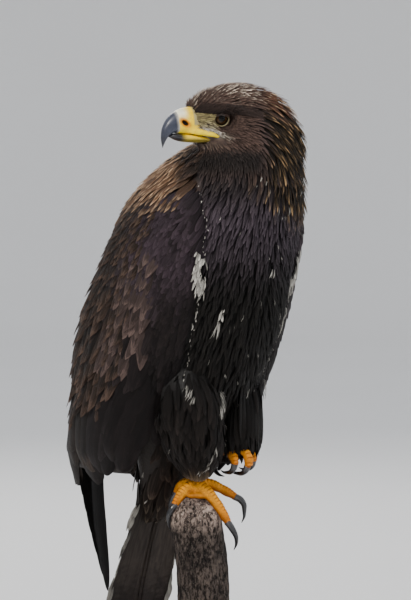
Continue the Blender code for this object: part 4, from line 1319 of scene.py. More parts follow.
def add_tail_steps(coat, side, line, ups, half, back):
    """Pale slivers along the outer edge of an outer tail feather, thickest where a step is."""
    steps, slivers = 6, 7
    strips = 0.8 + 0.1 * (side > 0)
    outlines = np.array((0.2, 0.7, 1.0, 0.9, 0.55, 0.08))
    for k, (first, last, wide, bright) in enumerate(TAIL_STEPS):
        for i in range(slivers):
            reach = (last - first) * random.uniform(0.35, 0.75)
            begin = random.uniform(first - 0.02, last - reach + 0.03)
            share = np.linspace(begin, begin + reach, steps)
            places = np.array([np.interp(share, FLIGHT_STATIONS, values) for values in line.T]).T
            widths = outlines * (wide * random.uniform(0.26, 0.5))
            inwards = wide * random.uniform(-0.55, 0.35) + np.linspace(0.12, -0.05, steps)
            edge = np.interp(share, FLIGHT_STATIONS, half) - inwards
            places = places + np.outer(edge * side, ALONG_X) - back * (0.19 + 0.014 * i)
            tone = TAIL_WHITE * bright * random.uniform(0.6, 1.1)
            strip = strip_middle(k * slivers + i, len(TAIL_STEPS) * slivers, strips, strips + 0.1)
            coat.add_long(places, ups[:steps], widths, 0.1, (tone, tone * 0.8, 0.6), 6, 0.0, 0.001, strip)


def make_tail(finish):
    """Twelve tail feathers, the middle ones over the outer ones, with white steps along the outer edges."""
    low = centimetres(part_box("tail")[0])
    root, end = np.array((0, 4.9, 3.6)), np.array((0, 11.0, low[2] + 0.2))
    down = unit(end - root)
    back = unit(np.array((0, -down[2], down[1])))
    length = np.linalg.norm(end - root)
    coat = Coat("tail_vanes", finish, None, replaced=("tail",))
    order = [(side, i) for i in range(5, -1, -1) for side in (-1, 1)]
    half = FLIGHT_SHAPE * np.interp(FLIGHT_STATIONS, (0, 0.5, 1), (1.2, 1.8, 2.15))
    for n, (side, i) in enumerate(order):
        reach = length - 0.25 * i
        top, bottom = side * (0.25 + 0.3 * i), side * (0.35 + 0.5 * i)
        aside = top + (bottom - top) * FLIGHT_STATIONS
        line = root + np.outer(FLIGHT_STATIONS * reach, down) + np.outer(aside, ALONG_X)
        sink = 0.13 * i + 0.05 * (side > 0) - 0.3
        line = line - back * sink * (1 - 0.55 * FLIGHT_STATIONS)[:, None]
        ups = np.broadcast_to(unit(back + ALONG_X * side * 0.05), line.shape)
        coat.add_long(line, ups, half, 0.07, (TAIL_BASE, TAIL_BAND, 0.55), 8, 0.06, 0.03,
                      strip_middle(n, len(order), 0.0, 0.8))
        if i == 5:
            add_tail_steps(coat, side, line, ups, half, back)
    coat.finish_piece()


# ---------------------------------------------------------------- legs


THIGH = srgb(20, 16, 14)
TARSUS = srgb(86, 74, 60)
LEG_TOP = 14.5
LEG_FOOT = {"right": np.array((-1.0, -1.2, 1.6)), "left": np.array((2.7, -2.0, 5.0))}
FOOT_LEVEL = {"right": 2.6, "left": 6.0}
LEG_SIZES = {"right": (1.15, 2.2, 3.5, 3.8), "left": (2.6, 3.0, 3.2, 3.6)}      # from the foot up
TARSUS_SHARE = {"right": 1.0, "left": 0.4}


def make_leg_coat(name, covers, finish):
    """The thigh's long loose feathers, and the shorter paler ones that end over the foot."""
    surface = Surface([f"leg_{name}"], 0.002, 4)
    foot = FOOT_LEVEL[name]

    def size(points):
        return np.interp(points[:, 2], (foot, foot + 2.5, foot + 6, LEG_TOP), LEG_SIZES[name])

    roots = surface.scatter(lambda p: np.where(p[:, 2] > LEG_TOP, np.inf, 0.19 * size(p)))
    places, normals = surface.nearest(roots)
    roots = roots[~hidden_under(places, normals, covers)]
    n, height = len(roots), roots[:, 2]
    length = size(roots) * random.uniform(0.75, 1.25, n)
    lines, ups = follow(surface, roots, -UP, length, STATIONS_6, random.normal(0, 0.13, n))
    hanging = ramp(-height, -foot - 3.5, -foot - 1.0)
    lines = hang(lines, STATIONS_6, length, 0.55 * hanging)
    inwards = (LEG_FOOT[name] - lines) * (1 - UP)
    lines = lines + inwards * (0.45 * np.array(STATIONS_6)[:, None] ** 1.5 * hanging[:, None, None])
    lines = sunk(lines, ups, STATIONS_6, np.clip(0.22 * length, 0.15, 0.5), 0.05 * length)
    ups = tilted(ups, 0.1)
    low = ramp(-height, -foot - 2.0, -foot - 0.3) * TARSUS_SHARE[name]
    factors = uneven(0.15, n)
    colours = (mix(THIGH, TARSUS, low) * factors, mix(THIGH * 1.7, TARSUS * 1.9, low) * factors, 0.6)
    coat = Coat(f"coat_leg_{name}", finish, bake_round_body)
    coat.add(lines, ups, outline(ROUND_6, length * 0.085), np.clip(0.016 * length, 0.02, 0.05), colours, 4)
    coat.finish_piece()


# ---------------------------------------------------------------- feet and claws


PERCH_SIDE = np.array((0.707, -0.707, 0.0))
PERCH_FRONT = np.array((-0.707, -0.707, 0.0))


def on_perch(aside, front, above):
    """A place in the standing foot."""
    return np.array((-0.9, -0.9, above)) + PERCH_SIDE * aside + PERCH_FRONT * front


def tucked(aside, front, above):
    """A place in the left foot, which hangs closed under the belly."""
    return np.array((2.7 + aside, -2.0 - front, above + 1.3))


# Toes and claws as paths of aside, front, above and radius
RIGHT_TOES = {
    "outer": (
        [(-0.3, 0.2, 1.35, 0.62), (-0.85, 0.5, 1.25, 0.6), (-1.5, 0.8, 0.6, 0.58),
         (-2.05, 1.05, -0.2, 0.52), (-2.4, 1.25, -0.8, 0.4)],
        [(-2.3, 1.2, -0.65, 0.42), (-2.75, 1.45, -1.15, 0.4), (-3.05, 1.45, -1.9, 0.3),
         (-3.05, 1.2, -2.7, 0.18), (-2.9, 0.9, -3.4, 0.04)],
    ),
    "middle": (
        [(0.1, 0.3, 1.4, 0.68), (0.95, 0.85, 0.8, 0.66), (1.8, 1.2, -0.15, 0.6),
         (2.65, 1.3, -1.4, 0.55), (3.35, 1.1, -2.65, 0.42)],
        [(3.25, 1.12, -2.5, 0.42), (3.75, 1.1, -3.2, 0.38), (4.2, 0.9, -4.1, 0.28),
         (4.25, 0.5, -5.0, 0.16), (4.0, 0.1, -5.7, 0.04)],
    ),
    "inner": (
        [(0.3, -0.2, 1.5, 0.64), (1.2, -0.45, 1.45, 0.6), (2.4, -0.8, 0.95, 0.55),
         (3.5, -1.05, 0.35, 0.5), (4.2, -1.2, -0.1, 0.4)],
        [(4.05, -1.15, 0.0, 0.42), (4.75, -1.3, -0.4, 0.4), (5.15, -1.35, -1.2, 0.3),
         (5.15, -1.35, -2.1, 0.18), (4.85, -1.3, -2.9, 0.04)],
    ),
    "hind": (
        [(-0.2, -0.3, 1.5, 0.66), (-1.0, -0.9, 1.45, 0.62), (-1.75, -1.6, 1.0, 0.58),
         (-2.15, -2.2, 0.2, 0.48)],
        [(-2.05, -2.05, 0.35, 0.48), (-2.5, -2.6, -0.3, 0.46), (-2.8, -2.8, -1.3, 0.36),
         (-2.6, -2.6, -2.5, 0.24), (-2.15, -2.15, -3.6, 0.05)],
    ),
}
LEFT_TOES = {
    "inner": (
        [(-0.3, 0.4, 3.6, 0.56), (-0.9, 1.2, 3.6, 0.56), (-1.25, 2.1, 3.1, 0.52), (-1.3, 2.4, 2.3, 0.42)],
        [(-1.3, 2.37, 2.45, 0.4), (-1.3, 2.2, 1.95, 0.36), (-1.25, 1.5, 1.45, 0.27),
         (-1.2, 0.7, 1.4, 0.15), (-1.15, 0.1, 1.6, 0.04)],
    ),
    "middle": (
        [(0.0, 0.5, 3.7, 0.6), (0.05, 1.5, 3.9, 0.6), (0.1, 2.6, 3.5, 0.56), (0.1, 3.1, 2.7, 0.5),
         (0.1, 2.9, 2.0, 0.4)],
        [(0.1, 2.95, 2.15, 0.4), (0.1, 2.6, 1.6, 0.35), (0.1, 1.8, 1.25, 0.26), (0.05, 0.9, 1.3, 0.15),
         (0.0, 0.3, 1.6, 0.04)],
    ),
    "outer": (
        [(0.3, 0.4, 3.6, 0.54), (1.0, 1.2, 3.7, 0.54), (1.45, 2.1, 3.3, 0.5), (1.6, 2.4, 2.5, 0.4)],
        [(1.58, 2.37, 2.65, 0.38), (1.6, 2.2, 2.1, 0.33), (1.55, 1.6, 1.65, 0.24),
         (1.45, 0.9, 1.6, 0.14), (1.35, 0.4, 1.75, 0.04)],
    ),
    "hind": (
        [(0.0, -0.3, 3.9, 0.6), (0.0, -1.1, 3.8, 0.58), (0.0, -1.8, 3.3, 0.5), (0.0, -2.1, 2.7, 0.42)],
        [(0.0, -2.05, 2.85, 0.42), (0.0, -2.25, 2.2, 0.38), (0.0, -1.9, 1.35, 0.28),
         (0.0, -1.2, 0.9, 0.16), (0.0, -0.5, 0.8, 0.04)],
    ),
}
FEET = {"right": (on_perch, RIGHT_TOES), "left": (tucked, LEFT_TOES)}
# Balls of each foot's sole, as a place, three radii and a turn, and the path of its shank
SOLES = {
    "right": [((0.0, 0.15, 0.95), (1.2, 1.05, 0.8), 0), ((0.1, 1.0, 0.35), (1.3, 0.7, 0.45), -45)],
    "left": [((0, 0.25, 3.7), (1.0, 1.0, 0.75), 0)],
}
SHANKS = {
    "right": [(0.1, 0.0, 1.0, 0.82), (0.25, -0.1, 2.0, 0.78), (0.25, -0.1, 3.3, 0.8)],
    "left": [(0, 0.1, 3.8, 0.8), (0, 0, 4.8, 0.8), (0, 0, 6.2, 0.85)],
}
SCUTE_LENGTH = 0.36
FOOT_YELLOW = srgb(228, 150, 2)
FOOT_ORANGE = srgb(194, 102, 10)
SKIN_SCATTER = (0.004, 0.002, 0.001)    # how far red, green and blue light spread under the skin
CERE_SCATTER = (0.004, 0.002, 0.0006)


def placed_path(place, path):
    return [(*place(*row[:3]), row[3]) for row in path]


def ball_rings(middle, radii, turned, count=14, around=20):
    """The rings of an oval ball whose long sides are turned about the upright axis, by degrees."""
    cos, sin = math.cos(math.radians(turned)), math.sin(math.radians(turned))
    side, front = np.array((cos, sin, 0)), np.array((-sin, cos, 0))
    rings = []
    for angle in np.linspace(0.12, math.pi - 0.12, count):
        centre = middle - UP * radii[2] * math.cos(angle)
        wide, deep = radii[0] * math.sin(angle), radii[1] * math.sin(angle)
        rings.append(oval_ring(centre, side, front, wide, deep, deep, around))
    return rings


def foot_solids(name):
    place, toes = FEET[name]
    toe_tubes = [tube_rings(placed_path(place, toe), 30, 24) for toe, _ in toes.values()]
    balls = [ball_rings(place(*middle), radii, turned) for middle, radii, turned in SOLES[name]]
    shank = tube_rings(placed_path(place, SHANKS[name]), 12, 24)
    return [solid(rings) for rings in (*toe_tubes, *balls, shank)]


def toe_samples():
    """Places along the middles of all toes, how far along each is, and the way the toe runs there."""
    samples = []
    for place, toes in FEET.values():
        for toe, _ in toes.values():
            run, line, _ = along_path(placed_path(place, toe), 80)
            samples.append((line, run, unit(np.gradient(line, axis=0)), run / run[-1]))
    return tuple(np.concatenate(v) for v in zip(*samples))


def feet_relief(points, normals):
    """Raises the scutes on the toes. Returns the new places, the tint, with painted shade on the toes'
    undersides, and how scaly the skin is.
    """
    places, runs, ways, shares = toe_samples()
    tree = point_tree(places)
    near = np.array([tree.find(p)[1] for p in points.tolist()])
    way = ways[near]
    run = runs[near] + dot(points - places[near], way)
    away = unit(points - places[near])
    front = np.where(points[:, 2:3] > 3.5, np.array((0, -0.7, 0.7)), UP)
    upper = unit(front - way * dot(front, way)[:, None])
    facing_up = dot(away, upper)
    top = ramp(facing_up, 0.35, 0.7)
    within = np.abs((run / SCUTE_LENGTH) % 1 * 2 - 1)
    plate = 1 - within**4
    knuckle = 0.03 * np.sin(runs[near] * 4.4) * (1 - top * 0.5)
    points = points + normals * (0.075 * plate * top + knuckle - 0.045)[:, None]
    tint = mix(FOOT_YELLOW, FOOT_ORANGE, ramp(shares[near], 0.45, 1.0) * 0.75)
    tint = mix(tint, FOOT_ORANGE * 0.45, top * ramp(within, 0.62, 0.92) * 0.85)
    # Painted shade: the sides and undersides of the toes, which face away from above, are darkened to
    # orange-brown.
    tint = mix(tint, FOOT_ORANGE * 0.6, ramp(-facing_up, -0.15, 0.75) * 0.8)
    return points, tint, 1 - top * 0.6


def skin_finish():
    f = Finish("skin", Roughness=0.5, Specular_IOR_Level=0.2, Subsurface_Weight=0.03,
               Subsurface_Radius=SKIN_SCATTER)
    place = f.place()
    scaly = f.attribute("scaly")["Fac"]
    grains = f.cells(place, 900.0)
    wrinkles = f.noise(place, 420.0, 4.0)
    colour = f.dim(f.attribute("tint")["Color"], f.vary(f.noise(place, 160.0), 0.82, 1.14))
    colour = f.dim(colour, f.span(f.times(grains, scaly), 0.25, 0.6, 1.0, 0.78))
    normal = f.bump(grains, 0.00025, 0.6, f.bump(wrinkles, 0.0003, 0.5))
    return f.set(Base_Color=colour, Normal=normal, Roughness=f.vary(wrinkles, 0.42, 0.62))


def thickness_under(tree, points, normals, most):
    """How thick the body is under each place, up to a limit."""
    found = []
    for point, way in zip((points - normals * 0.02).tolist(), (-normals).tolist()):
        far = tree.ray_cast(point, way, most)[3]
        found.append(most if far is None else far)
    return np.array(found)


def make_skin():
    """One skin over all the flesh: under the coat by its depth, and bare on the feet."""
    flesh = Surface(FLESH, 0.003, 4)
    points, normals = flesh.points, normals_of(flesh.mesh)
    ahead, _, above = head_places(points)
    on_head = ramp(above, -6, -4)
    on_face = ramp(ahead, -4.5, 0.5) * on_head
    depth = between(0.62, 0.16, on_face)
    depth = between(depth, 0.4, on_head * (1 - on_face))
    depth = np.minimum(depth, 0.38 * thickness_under(flesh.tree, points, normals, 4.0))
    points = points - normals * depth[:, None]
    tint = body_marks(points)[0] * 0.75
    feet = fused(foot_solids("right") + foot_solids("left"), 0.0007, 3)
    foot_points, foot_tint, foot_scaly = feet_relief(centimetres(vertices_of(feet)), normals_of(feet))
    scaly = np.concatenate((np.zeros(len(points)), foot_scaly))
    attributes = {"tint": opaque(np.concatenate((tint, foot_tint))), "scaly": scaly}
    obj = moved("skin", joined("skin", (flesh.mesh, feet)), np.concatenate((points, foot_points)), attributes)
    place_piece(obj, skin_finish(), "foot_skin", *FLESH, *FOOT_FLESH)


def claw_finish():
    f = Finish("claw_horn", Roughness=0.3, Specular_IOR_Level=0.5, Coat_Weight=0.3, Coat_Roughness=0.2)
    place = f.place()
    cloud = f.noise(place, 220.0, 4.0)
    streak = f.noise(place, (1200.0, 1200.0, 180.0))
    colour = f.blend(f.span(f.attribute("along")["Fac"], 0.0, 0.35), srgb(60, 57, 58), srgb(20, 20, 24))
    colour = f.dim(colour, f.vary(cloud, 0.75, 1.3))
    return f.set(Base_Color=colour, Normal=f.bump(streak, 0.00012, 0.5), Roughness=f.vary(cloud, 0.25, 0.42))


def make_claws():
    finish = claw_finish()
    steps, around = 36, 20
    along = np.repeat(np.linspace(0, 1, steps), around)
    for foot, (place, toes) in FEET.items():
        for toe, (_, claw) in toes.items():
            rings = tube_rings(placed_path(place, claw), steps, around, 0.92)
            obj = loft(f"talon_{foot}_{toe}", rings, {"along": along})
            place_piece(obj, finish, "claw_horn", f"claw_{foot}_{toe}")


# ---------------------------------------------------------------- bill


# Top point, bottom point (ahead, above) and half width of the upper bill, from the cere's back to the hook
UPPER_BILL = [
    (2.5, 1.25, 2.5, -1.66, 1.30),
    (3.2, 1.22, 3.2, -1.66, 1.22),
    (4.0, 1.06, 3.95, -1.60, 1.07),
    (4.8, 0.72, 4.65, -1.56, 0.92),
    (5.5, 0.18, 5.2, -1.62, 0.76),
    (6.02, -0.5, 5.55, -1.82, 0.60),
    (6.34, -1.3, 5.80, -2.12, 0.43),
    (6.42, -2.1, 6.02, -2.52, 0.27),
    (6.33, -2.75, 6.17, -2.88, 0.12),
    (6.25, -3.1, 6.22, -3.12, 0.03),
]
CERE_END = 3                            # the row where the cere ends and the horn starts
# Ahead, top, bottom and half width of the lower bill
LOWER_BILL = [
    (1.2, -1.95, -2.5, 1.30),
    (2.6, -1.68, -2.52, 1.14),
    (3.8, -1.62, -2.46, 0.96),
    (4.7, -1.58, -2.28, 0.76),
    (5.2, -1.60, -2.08, 0.52),
    (5.5, -1.74, -1.98, 0.22),
]
# The gape's flanges as paths of ahead, aside, above and radius
GAPE = [(3.9, 0.7, -1.25, 0.2), (2.6, 1.2, -1.42, 0.34), (1.4, 1.68, -1.64, 0.27), (0.35, 1.98, -1.98, 0.1)]
NOSTRIL = (4.1, -0.5)                   # ahead and above
NOSTRIL_SIZE = (0.42, 0.25)
NOSTRIL_TILT = math.radians(-35)
NOSTRIL_SHADE = srgb(20, 11, 6)
CERE_YELLOW = srgb(255, 212, 0)
CERE_TOP_HIGHLIGHT = srgb(253, 246, 214)
CERE_ORANGE = srgb(206, 112, 16)
CERE_EDGE = srgb(255, 224, 10)
HORN = srgb(50, 54, 68)
HORN_TIP = srgb(24, 25, 31)
HORN_BASE = srgb(166, 163, 154)
LOWER_YELLOW = srgb(240, 204, 24)
LOWER_UNDERSIDE_SHADE = srgb(104, 92, 44)
LOWER_TIP = srgb(36, 35, 40)


def upper_bill_rings(first, last, steps, around, swell=0.0):
    """Rings of the upper bill between two rows. Each ring is widest a little above its lower edge."""
    rows = [(i, *row) for i, row in enumerate(UPPER_BILL)]
    rings = []
    for top_a, top_u, low_a, low_u, half in read_between(rows, np.linspace(first, last, steps)):
        top, low = in_head(top_a, 0, top_u), in_head(low_a, 0, low_u)
        height = np.linalg.norm(top - low)
        up = (top - low) / height
        centre = low + up * height * 0.24
        above, below = height * 0.76 + swell, height * 0.24 + swell
        rings.append(oval_ring(centre, LEFT, up, half + swell, above, below, around, 2.3))
    return np.array(rings)


def horn_finish(name):
    """Horn in thin layers, with growth lines across and fine scratches along."""
    f = Finish(name, Roughness=0.34, Specular_IOR_Level=0.5, Coat_Weight=0.12, Coat_Roughness=0.18)
    place = f.place()
    layers = f.noise(place, (500.0, 500.0, 900.0))
    cloud = f.noise(place, 140.0, 4.0)
    colour = f.dim(f.attribute("tint")["Color"], f.vary(cloud, 0.85, 1.18))
    colour = f.dim(colour, f.span(layers, 0.35, 0.65, 0.93, 1.07))
    return f.set(Base_Color=colour, Normal=f.bump(layers, 0.00015, 0.4), Roughness=f.vary(cloud, 0.28, 0.42))


def cere_finish():
    """Waxy yellow skin with fine pores and wrinkles."""
    f = Finish("cere_skin", Roughness=0.42, Specular_IOR_Level=0.22, Subsurface_Weight=0.05,
               Subsurface_Radius=CERE_SCATTER)
    place = f.place()
    cloud = f.noise(place, 190.0, 4.0)
    wrinkles = f.bump(f.noise(place, (600.0, 600.0, 1400.0)), 0.0002, 0.45)
    colour = f.dim(f.attribute("tint")["Color"], f.vary(cloud, 0.88, 1.08))
    normal = f.bump(f.cells(place, 1500.0), 0.00008, 0.5, wrinkles)
    return f.set(Base_Color=colour, Normal=normal, Roughness=f.vary(cloud, 0.36, 0.5))


def make_upper_bill():
    steps, around = 70, 56
    rings = upper_bill_rings(CERE_END - 0.1, len(UPPER_BILL) - 1, steps, around)
    row = np.repeat(np.linspace(0, 1, steps), around)
    tint = mix(HORN_BASE, HORN, ramp(row, 0.01, 0.1))
    tint = mix(tint, HORN_TIP, ramp(row, 0.35, 0.95))
    points = rings.reshape(-1, 3)
    ahead, _, above = head_places(points)
    wave = 0.04 * np.sin((ahead - 4.6) * 4.2) * ramp(-above, 1.2, 1.6) * ramp(-row, -0.4, -0.3)
    points = points + UP * wave[:, None]
    obj = loft("bill_upper_horn", points.reshape(rings.shape), {"tint": opaque(tint)})
    place_piece(obj, horn_finish("bill_horn"), "bill_horn", "bill_upper")


def make_lower_bill():
    steps, around = 44, 40
    places = np.linspace(LOWER_BILL[0][0], LOWER_BILL[-1][0], steps)
    rings = []
    for ahead, (top, bottom, half) in zip(places, read_between(LOWER_BILL, places)):
        centre, tall = in_head(ahead, 0, (top + bottom) / 2), (top - bottom) / 2
        rings.append(oval_ring(centre, LEFT, UP, half, tall, tall, around, 2.2))
    row = np.repeat(np.linspace(0, 1, steps), around)
    above = head_places(np.concatenate(rings))[2]
    # Painted shade: the underside of the lower bill is darkened to olive.
    tint = mix(LOWER_YELLOW, LOWER_UNDERSIDE_SHADE, ramp(-above, 1.95, 2.3) * 0.85)
    tint = mix(tint, LOWER_TIP, ramp(row, 0.56, 0.76))
    obj = loft("bill_lower_horn", rings, {"tint": opaque(tint)})
    place_piece(obj, horn_finish("bill_lower"), "bill_horn", "bill_lower")


def cere_relief(points, normals):
    """Sinks the nostrils into the cere, and gives each place its colour, with a painted highlight on the
    cere's top front and painted shade in the nostrils.
    """
    ahead, _, above = head_places(points)
    a, b = ahead - NOSTRIL[0], above - NOSTRIL[1]
    cos, sin = math.cos(NOSTRIL_TILT), math.sin(NOSTRIL_TILT)
    far = np.hypot((a * cos - b * sin) / NOSTRIL_SIZE[0], (a * sin + b * cos) / NOSTRIL_SIZE[1])
    sink = 0.3 * (1 - ramp(far, 0.45, 1.05)) - 0.035 * np.exp(-(((far - 1.45) / 0.35) ** 2))
    points = points - normals * sink[:, None]
    # Painted highlight: the top front of the cere is whitened.
    tint = mix(CERE_YELLOW, CERE_TOP_HIGHLIGHT, ramp(above, -0.5, 0.6) * ramp(ahead, 3.4, 4.3))
    tint = mix(tint, LORES, ramp(-ahead, -FACE_END - 0.1, -FACE_END + 0.1) * ramp(above, -0.9, -0.6))
    tint = mix(tint, CERE_ORANGE, (1 - ramp(far, 1.1, 2.1)) * 0.85)
    # Painted shade: the sunk nostril is filled with near black.
    tint = mix(tint, NOSTRIL_SHADE, 1 - ramp(far, 0.75, 1.1))
    return points, mix(tint, CERE_EDGE, ramp(-above, 1.1, 1.5) * 0.8)


def make_cere():
    paths = [[(*in_head(a, side * b, c), r) for a, b, c, r in GAPE] for side in SIDES.values()]
    flanges = [solid(tube_rings(path, 30, 20)) for path in paths]
    root = solid(upper_bill_rings(0, CERE_END, 40, 64, 0.012))
    mesh = fused([root, *flanges], 0.0004, 6)
    points, tint = cere_relief(centimetres(vertices_of(mesh)), normals_of(mesh))
    obj = moved("cere_and_gape", mesh, points, {"tint": opaque(tint)})
    place_piece(obj, cere_finish(), "cere_skin", "cere")


# ---------------------------------------------------------------- eyes


EYE_RADIUS = 1.02
EYE_WAY = (0.3, 0.95)                   # ahead and aside, the way each eye faces
PUPIL, IRIS = 20.0, 44.0                # half angles seen from the eye's middle, in degrees
CORNEA_BULGE = 0.07
IRIS_OUTER, IRIS_INNER = srgb(32, 21, 12), srgb(60, 41, 21)
LID_PALE = srgb(142, 132, 98)
LID_DARK = srgb(48, 38, 33)
LID_FRONT = srgb(120, 106, 62)


def eye_finish():
    f = Finish("eye", Roughness=0.1, Specular_IOR_Level=0.12, Coat_Weight=0.16, Coat_Roughness=0.02)
    ring = f.attribute("ring")["Fac"]
    around = f.attribute("spoke")["Vector"]
    colour = f.blend(f.span(ring, PUPIL, IRIS), IRIS_INNER, IRIS_OUTER)
    colour = f.dim(colour, f.vary(f.noise(around, 14.4, 4.0), 0.55, 1.4))
    colour = f.dim(colour, f.vary(f.noise(around, 3.0), 0.8, 1.2))
    colour = f.blend(f.span(ring, IRIS - 6, IRIS), colour, (0.006, 0.004, 0.003))
    return f.set(Base_Color=f.blend(f.span(ring, PUPIL - 1, PUPIL + 1.5), (0.001, 0.001, 0.001), colour))


def lid_finish():
    f = Finish("eyelid", Roughness=0.5, Specular_IOR_Level=0.4)
    place = f.place()
    wrinkles = f.noise(place, 900.0)
    colour = f.dim(f.attribute("tint")["Color"], f.vary(wrinkles, 0.8, 1.15))
    normal = f.bump(f.cells(place, 1600.0), 0.0001, 0.5, f.bump(wrinkles, 0.0002, 0.5))
    return f.set(Base_Color=colour, Normal=normal)


def eye_ring(name, turn, angle, reach):
    """Places round an eye, by the turn from straight up and the angle from the way it faces."""
    facing = unit(AHEAD * EYE_WAY[0] + LEFT * SIDES[name] * EYE_WAY[1])
    upward = unit(UP - facing * facing[2])
    forward = np.cross(upward, facing)
    forward = forward * np.sign(dot(forward, AHEAD))
    across = np.outer(np.cos(turn), upward) + np.outer(np.sin(turn), forward)
    angle = np.broadcast_to(angle, turn.shape)[:, None]
    return EYES[name] + (facing * np.cos(angle) + across * np.sin(angle)) * reach


def make_eyes():
    finish = eye_finish()
    around = 56
    turn = round_angles(around)
    angles = np.concatenate((np.linspace(0.6, 60, 36), np.linspace(66, 178, 12)))
    reaches = EYE_RADIUS * (1 + CORNEA_BULGE * np.exp(-((angles / 30) ** 2)) - 0.035)
    spoke = [np.column_stack((np.cos(turn), np.sin(turn), np.full(around, 0.2 * a / IRIS))) for a in angles]
    attributes = {"ring": np.repeat(angles, around), "spoke": np.concatenate(spoke)}
    for name in SIDES:
        rings = [eye_ring(name, turn, math.radians(angle), reach) for angle, reach in zip(angles, reaches)]
        place_piece(loft(f"eyeball_{name}", rings, attributes), finish, "eye", f"eye_{name}")


def lid_opening(turn):
    """How far the lids' rim is from the eye's middle line, in degrees, by the angle from straight up."""
    up, forward = np.cos(turn), np.sin(turn)
    lower = 46 - 2 * np.clip(forward, 0, 1)
    upper = 18 + 3 * forward
    return between(lower, upper, ramp(up, -0.1, 0.75))


def make_lids():
    """A rim of bare skin round each eye: dark above, under the brow, and pale yellow below."""
    finish = lid_finish()
    around, steps = 72, 9
    turn = round_angles(around)
    opening = np.radians(lid_opening(turn))
    outer = np.radians(between(74, 80, ramp(np.cos(turn), -0.2, 0.8)))
    shares = np.concatenate((np.linspace(0, 1, steps), np.linspace(1, 0, steps)))
    front = 0.05 + 0.075 * np.sin(np.linspace(0.25, math.pi * 0.8, steps))
    heights = np.concatenate((front, np.linspace(-0.08, -0.005, steps)))
    count = len(shares)
    # The last ring is joined to the first
    quads = ring_quads(count + 1, around)[: count * around] % (count * around)
    up, forward = np.tile(np.cos(turn), count), np.tile(np.sin(turn), count)
    tint = mix(LID_PALE, LID_DARK, ramp(up, -0.1, 0.4))
    tint = mix(tint, LID_FRONT, ramp(forward, -0.1, 0.6) * ramp(-up, -0.3, 0.2))
    tint = mix(tint, CHEEK * 1.5, np.repeat(ramp(shares, 0.07, 0.2), around))
    for name in SIDES:
        rings = [eye_ring(name, turn, opening + (outer - opening) * share, EYE_RADIUS + 0.015 + height)
                 for share, height in zip(shares, heights)]
        obj = mesh_from(f"eyelids_{name}", np.concatenate(rings), quads, {"tint": opaque(tint)})
        outwards(obj.data)
        place_piece(obj, finish, "cere_skin")


# ---------------------------------------------------------------- perch and stand


PERCH_RADIUS, PERCH_LENGTH, PERCH_DOME = 2.85, 20.5, 3.0
PERCH_TOP = np.array((-1.2, -0.6, 0.4))
PERCH_LEAN = np.array((-0.03, 0.125, 1.0))      # how the branch's middle shifts with each centimetre up
WOOD_DARK, WOOD_PALE = srgb(56, 44, 38), srgb(174, 154, 141)
WOOD_STAIN, WOOD_SPECK, WOOD_PIT = srgb(66, 55, 50), srgb(196, 182, 168), srgb(20, 16, 14)


def perch_finish():
    """Weathered wood: pinkish grey, with dark pits and flakes and fine cracks; darker low down, mostly
    painted shade, and paler at the top, partly weathering and partly a painted highlight.
    """
    f = Finish("weathered_wood", Roughness=0.9, Specular_IOR_Level=0.2)
    place = f.place()
    warp = f.noise(place, 34.0, 4.0, 0.6)
    grain = f.noise(place, (380.0, 380.0, 90.0), 5.0, 0.65)
    flakes = f.noise(place, (250.0, 250.0, 110.0), 6.0, 0.72)
    pits = f.noise(place, (360.0, 360.0, 150.0), 5.0, 0.75)
    specks = f.noise(place, 520.0, 3.0, 0.7)
    cracks = f.cells(place, (110.0, 110.0, 12.0), "DISTANCE_TO_EDGE")
    colour = f.blend(f.span(flakes, 0.42, 0.56), WOOD_DARK, WOOD_PALE)
    colour = f.blend(f.span(warp, 0.42, 0.62, 0.0, 0.7), colour, WOOD_STAIN)
    colour = f.dim(colour, f.vary(grain, 0.7, 1.2))
    colour = f.blend(f.span(specks, 0.58, 0.7, 0.0, 0.7), colour, WOOD_SPECK)
    in_pit = f.times(f.span(pits, 0.41, 0.48, 1.0, 0.0), f.span(warp, 0.35, 0.6, 0.6, 1.0))
    colour = f.blend(in_pit, colour, WOOD_PIT)
    colour = f.dim(colour, f.span(cracks, 0.0, 0.03, 0.45, 1.0))
    # Painted shade darkens the branch below about 24 cm, and a painted highlight, with some weathering,
    # brightens its top above about 27 cm.
    colour = f.dim(colour, f.span(f.parts(place)[2], 0.24, 0.268, 0.22, 1.3))
    normal = f.bump(flakes, 0.0012, 0.8, f.bump(grain, 0.0005, 0.6, f.bump(pits, 0.0014, 0.8)))
    return f.set(Base_Color=colour, Normal=normal)


def make_perch():
    levels, around = 190, 150
    dome = -PERCH_DOME * np.cos(np.linspace(0.1, 1.5, 40))
    angle = round_angles(around)

    def wave(turns, rise, shift=0.0):
        return np.sin(turns * angle + rise * height + shift)

    rings = []
    for height in np.concatenate((np.linspace(-PERCH_LENGTH, -PERCH_DOME, levels), dome)):
        above = max(0.0, 1 - (height + PERCH_DOME) / PERCH_DOME) if height > -PERCH_DOME else 1.0
        radius = PERCH_RADIUS * math.sqrt(max(0.0, 1 - (1 - above) ** 2))
        lumps = 0.035 * wave(3, 0.4) + 0.025 * wave(5, -0.7)
        ridges = 0.012 * np.abs(wave(11, 0.35, 1.2)) + 0.009 * np.abs(wave(19, -0.5, 0.4))
        plates = 0.014 * ramp(wave(7, 1.9, 2.0) * wave(4, -1.1, 0.6), 0.1, 0.35)
        knot = 0.03 * np.exp(-(((angle - 4.1) / 0.22) ** 2) - (((height + 4.6) / 0.8) ** 2))
        reach = radius * (0.985 + lumps - 0.02 + ridges + plates + knot)
        x, y = np.cos(angle) * reach, np.sin(angle) * reach
        rings.append(PERCH_TOP + PERCH_LEAN * height + np.outer(x, ALONG_X) + np.outer(y, ALONG_Y))
    place_piece(loft("perch_wood", rings), perch_finish(), "perch_wood", "perch_branch")


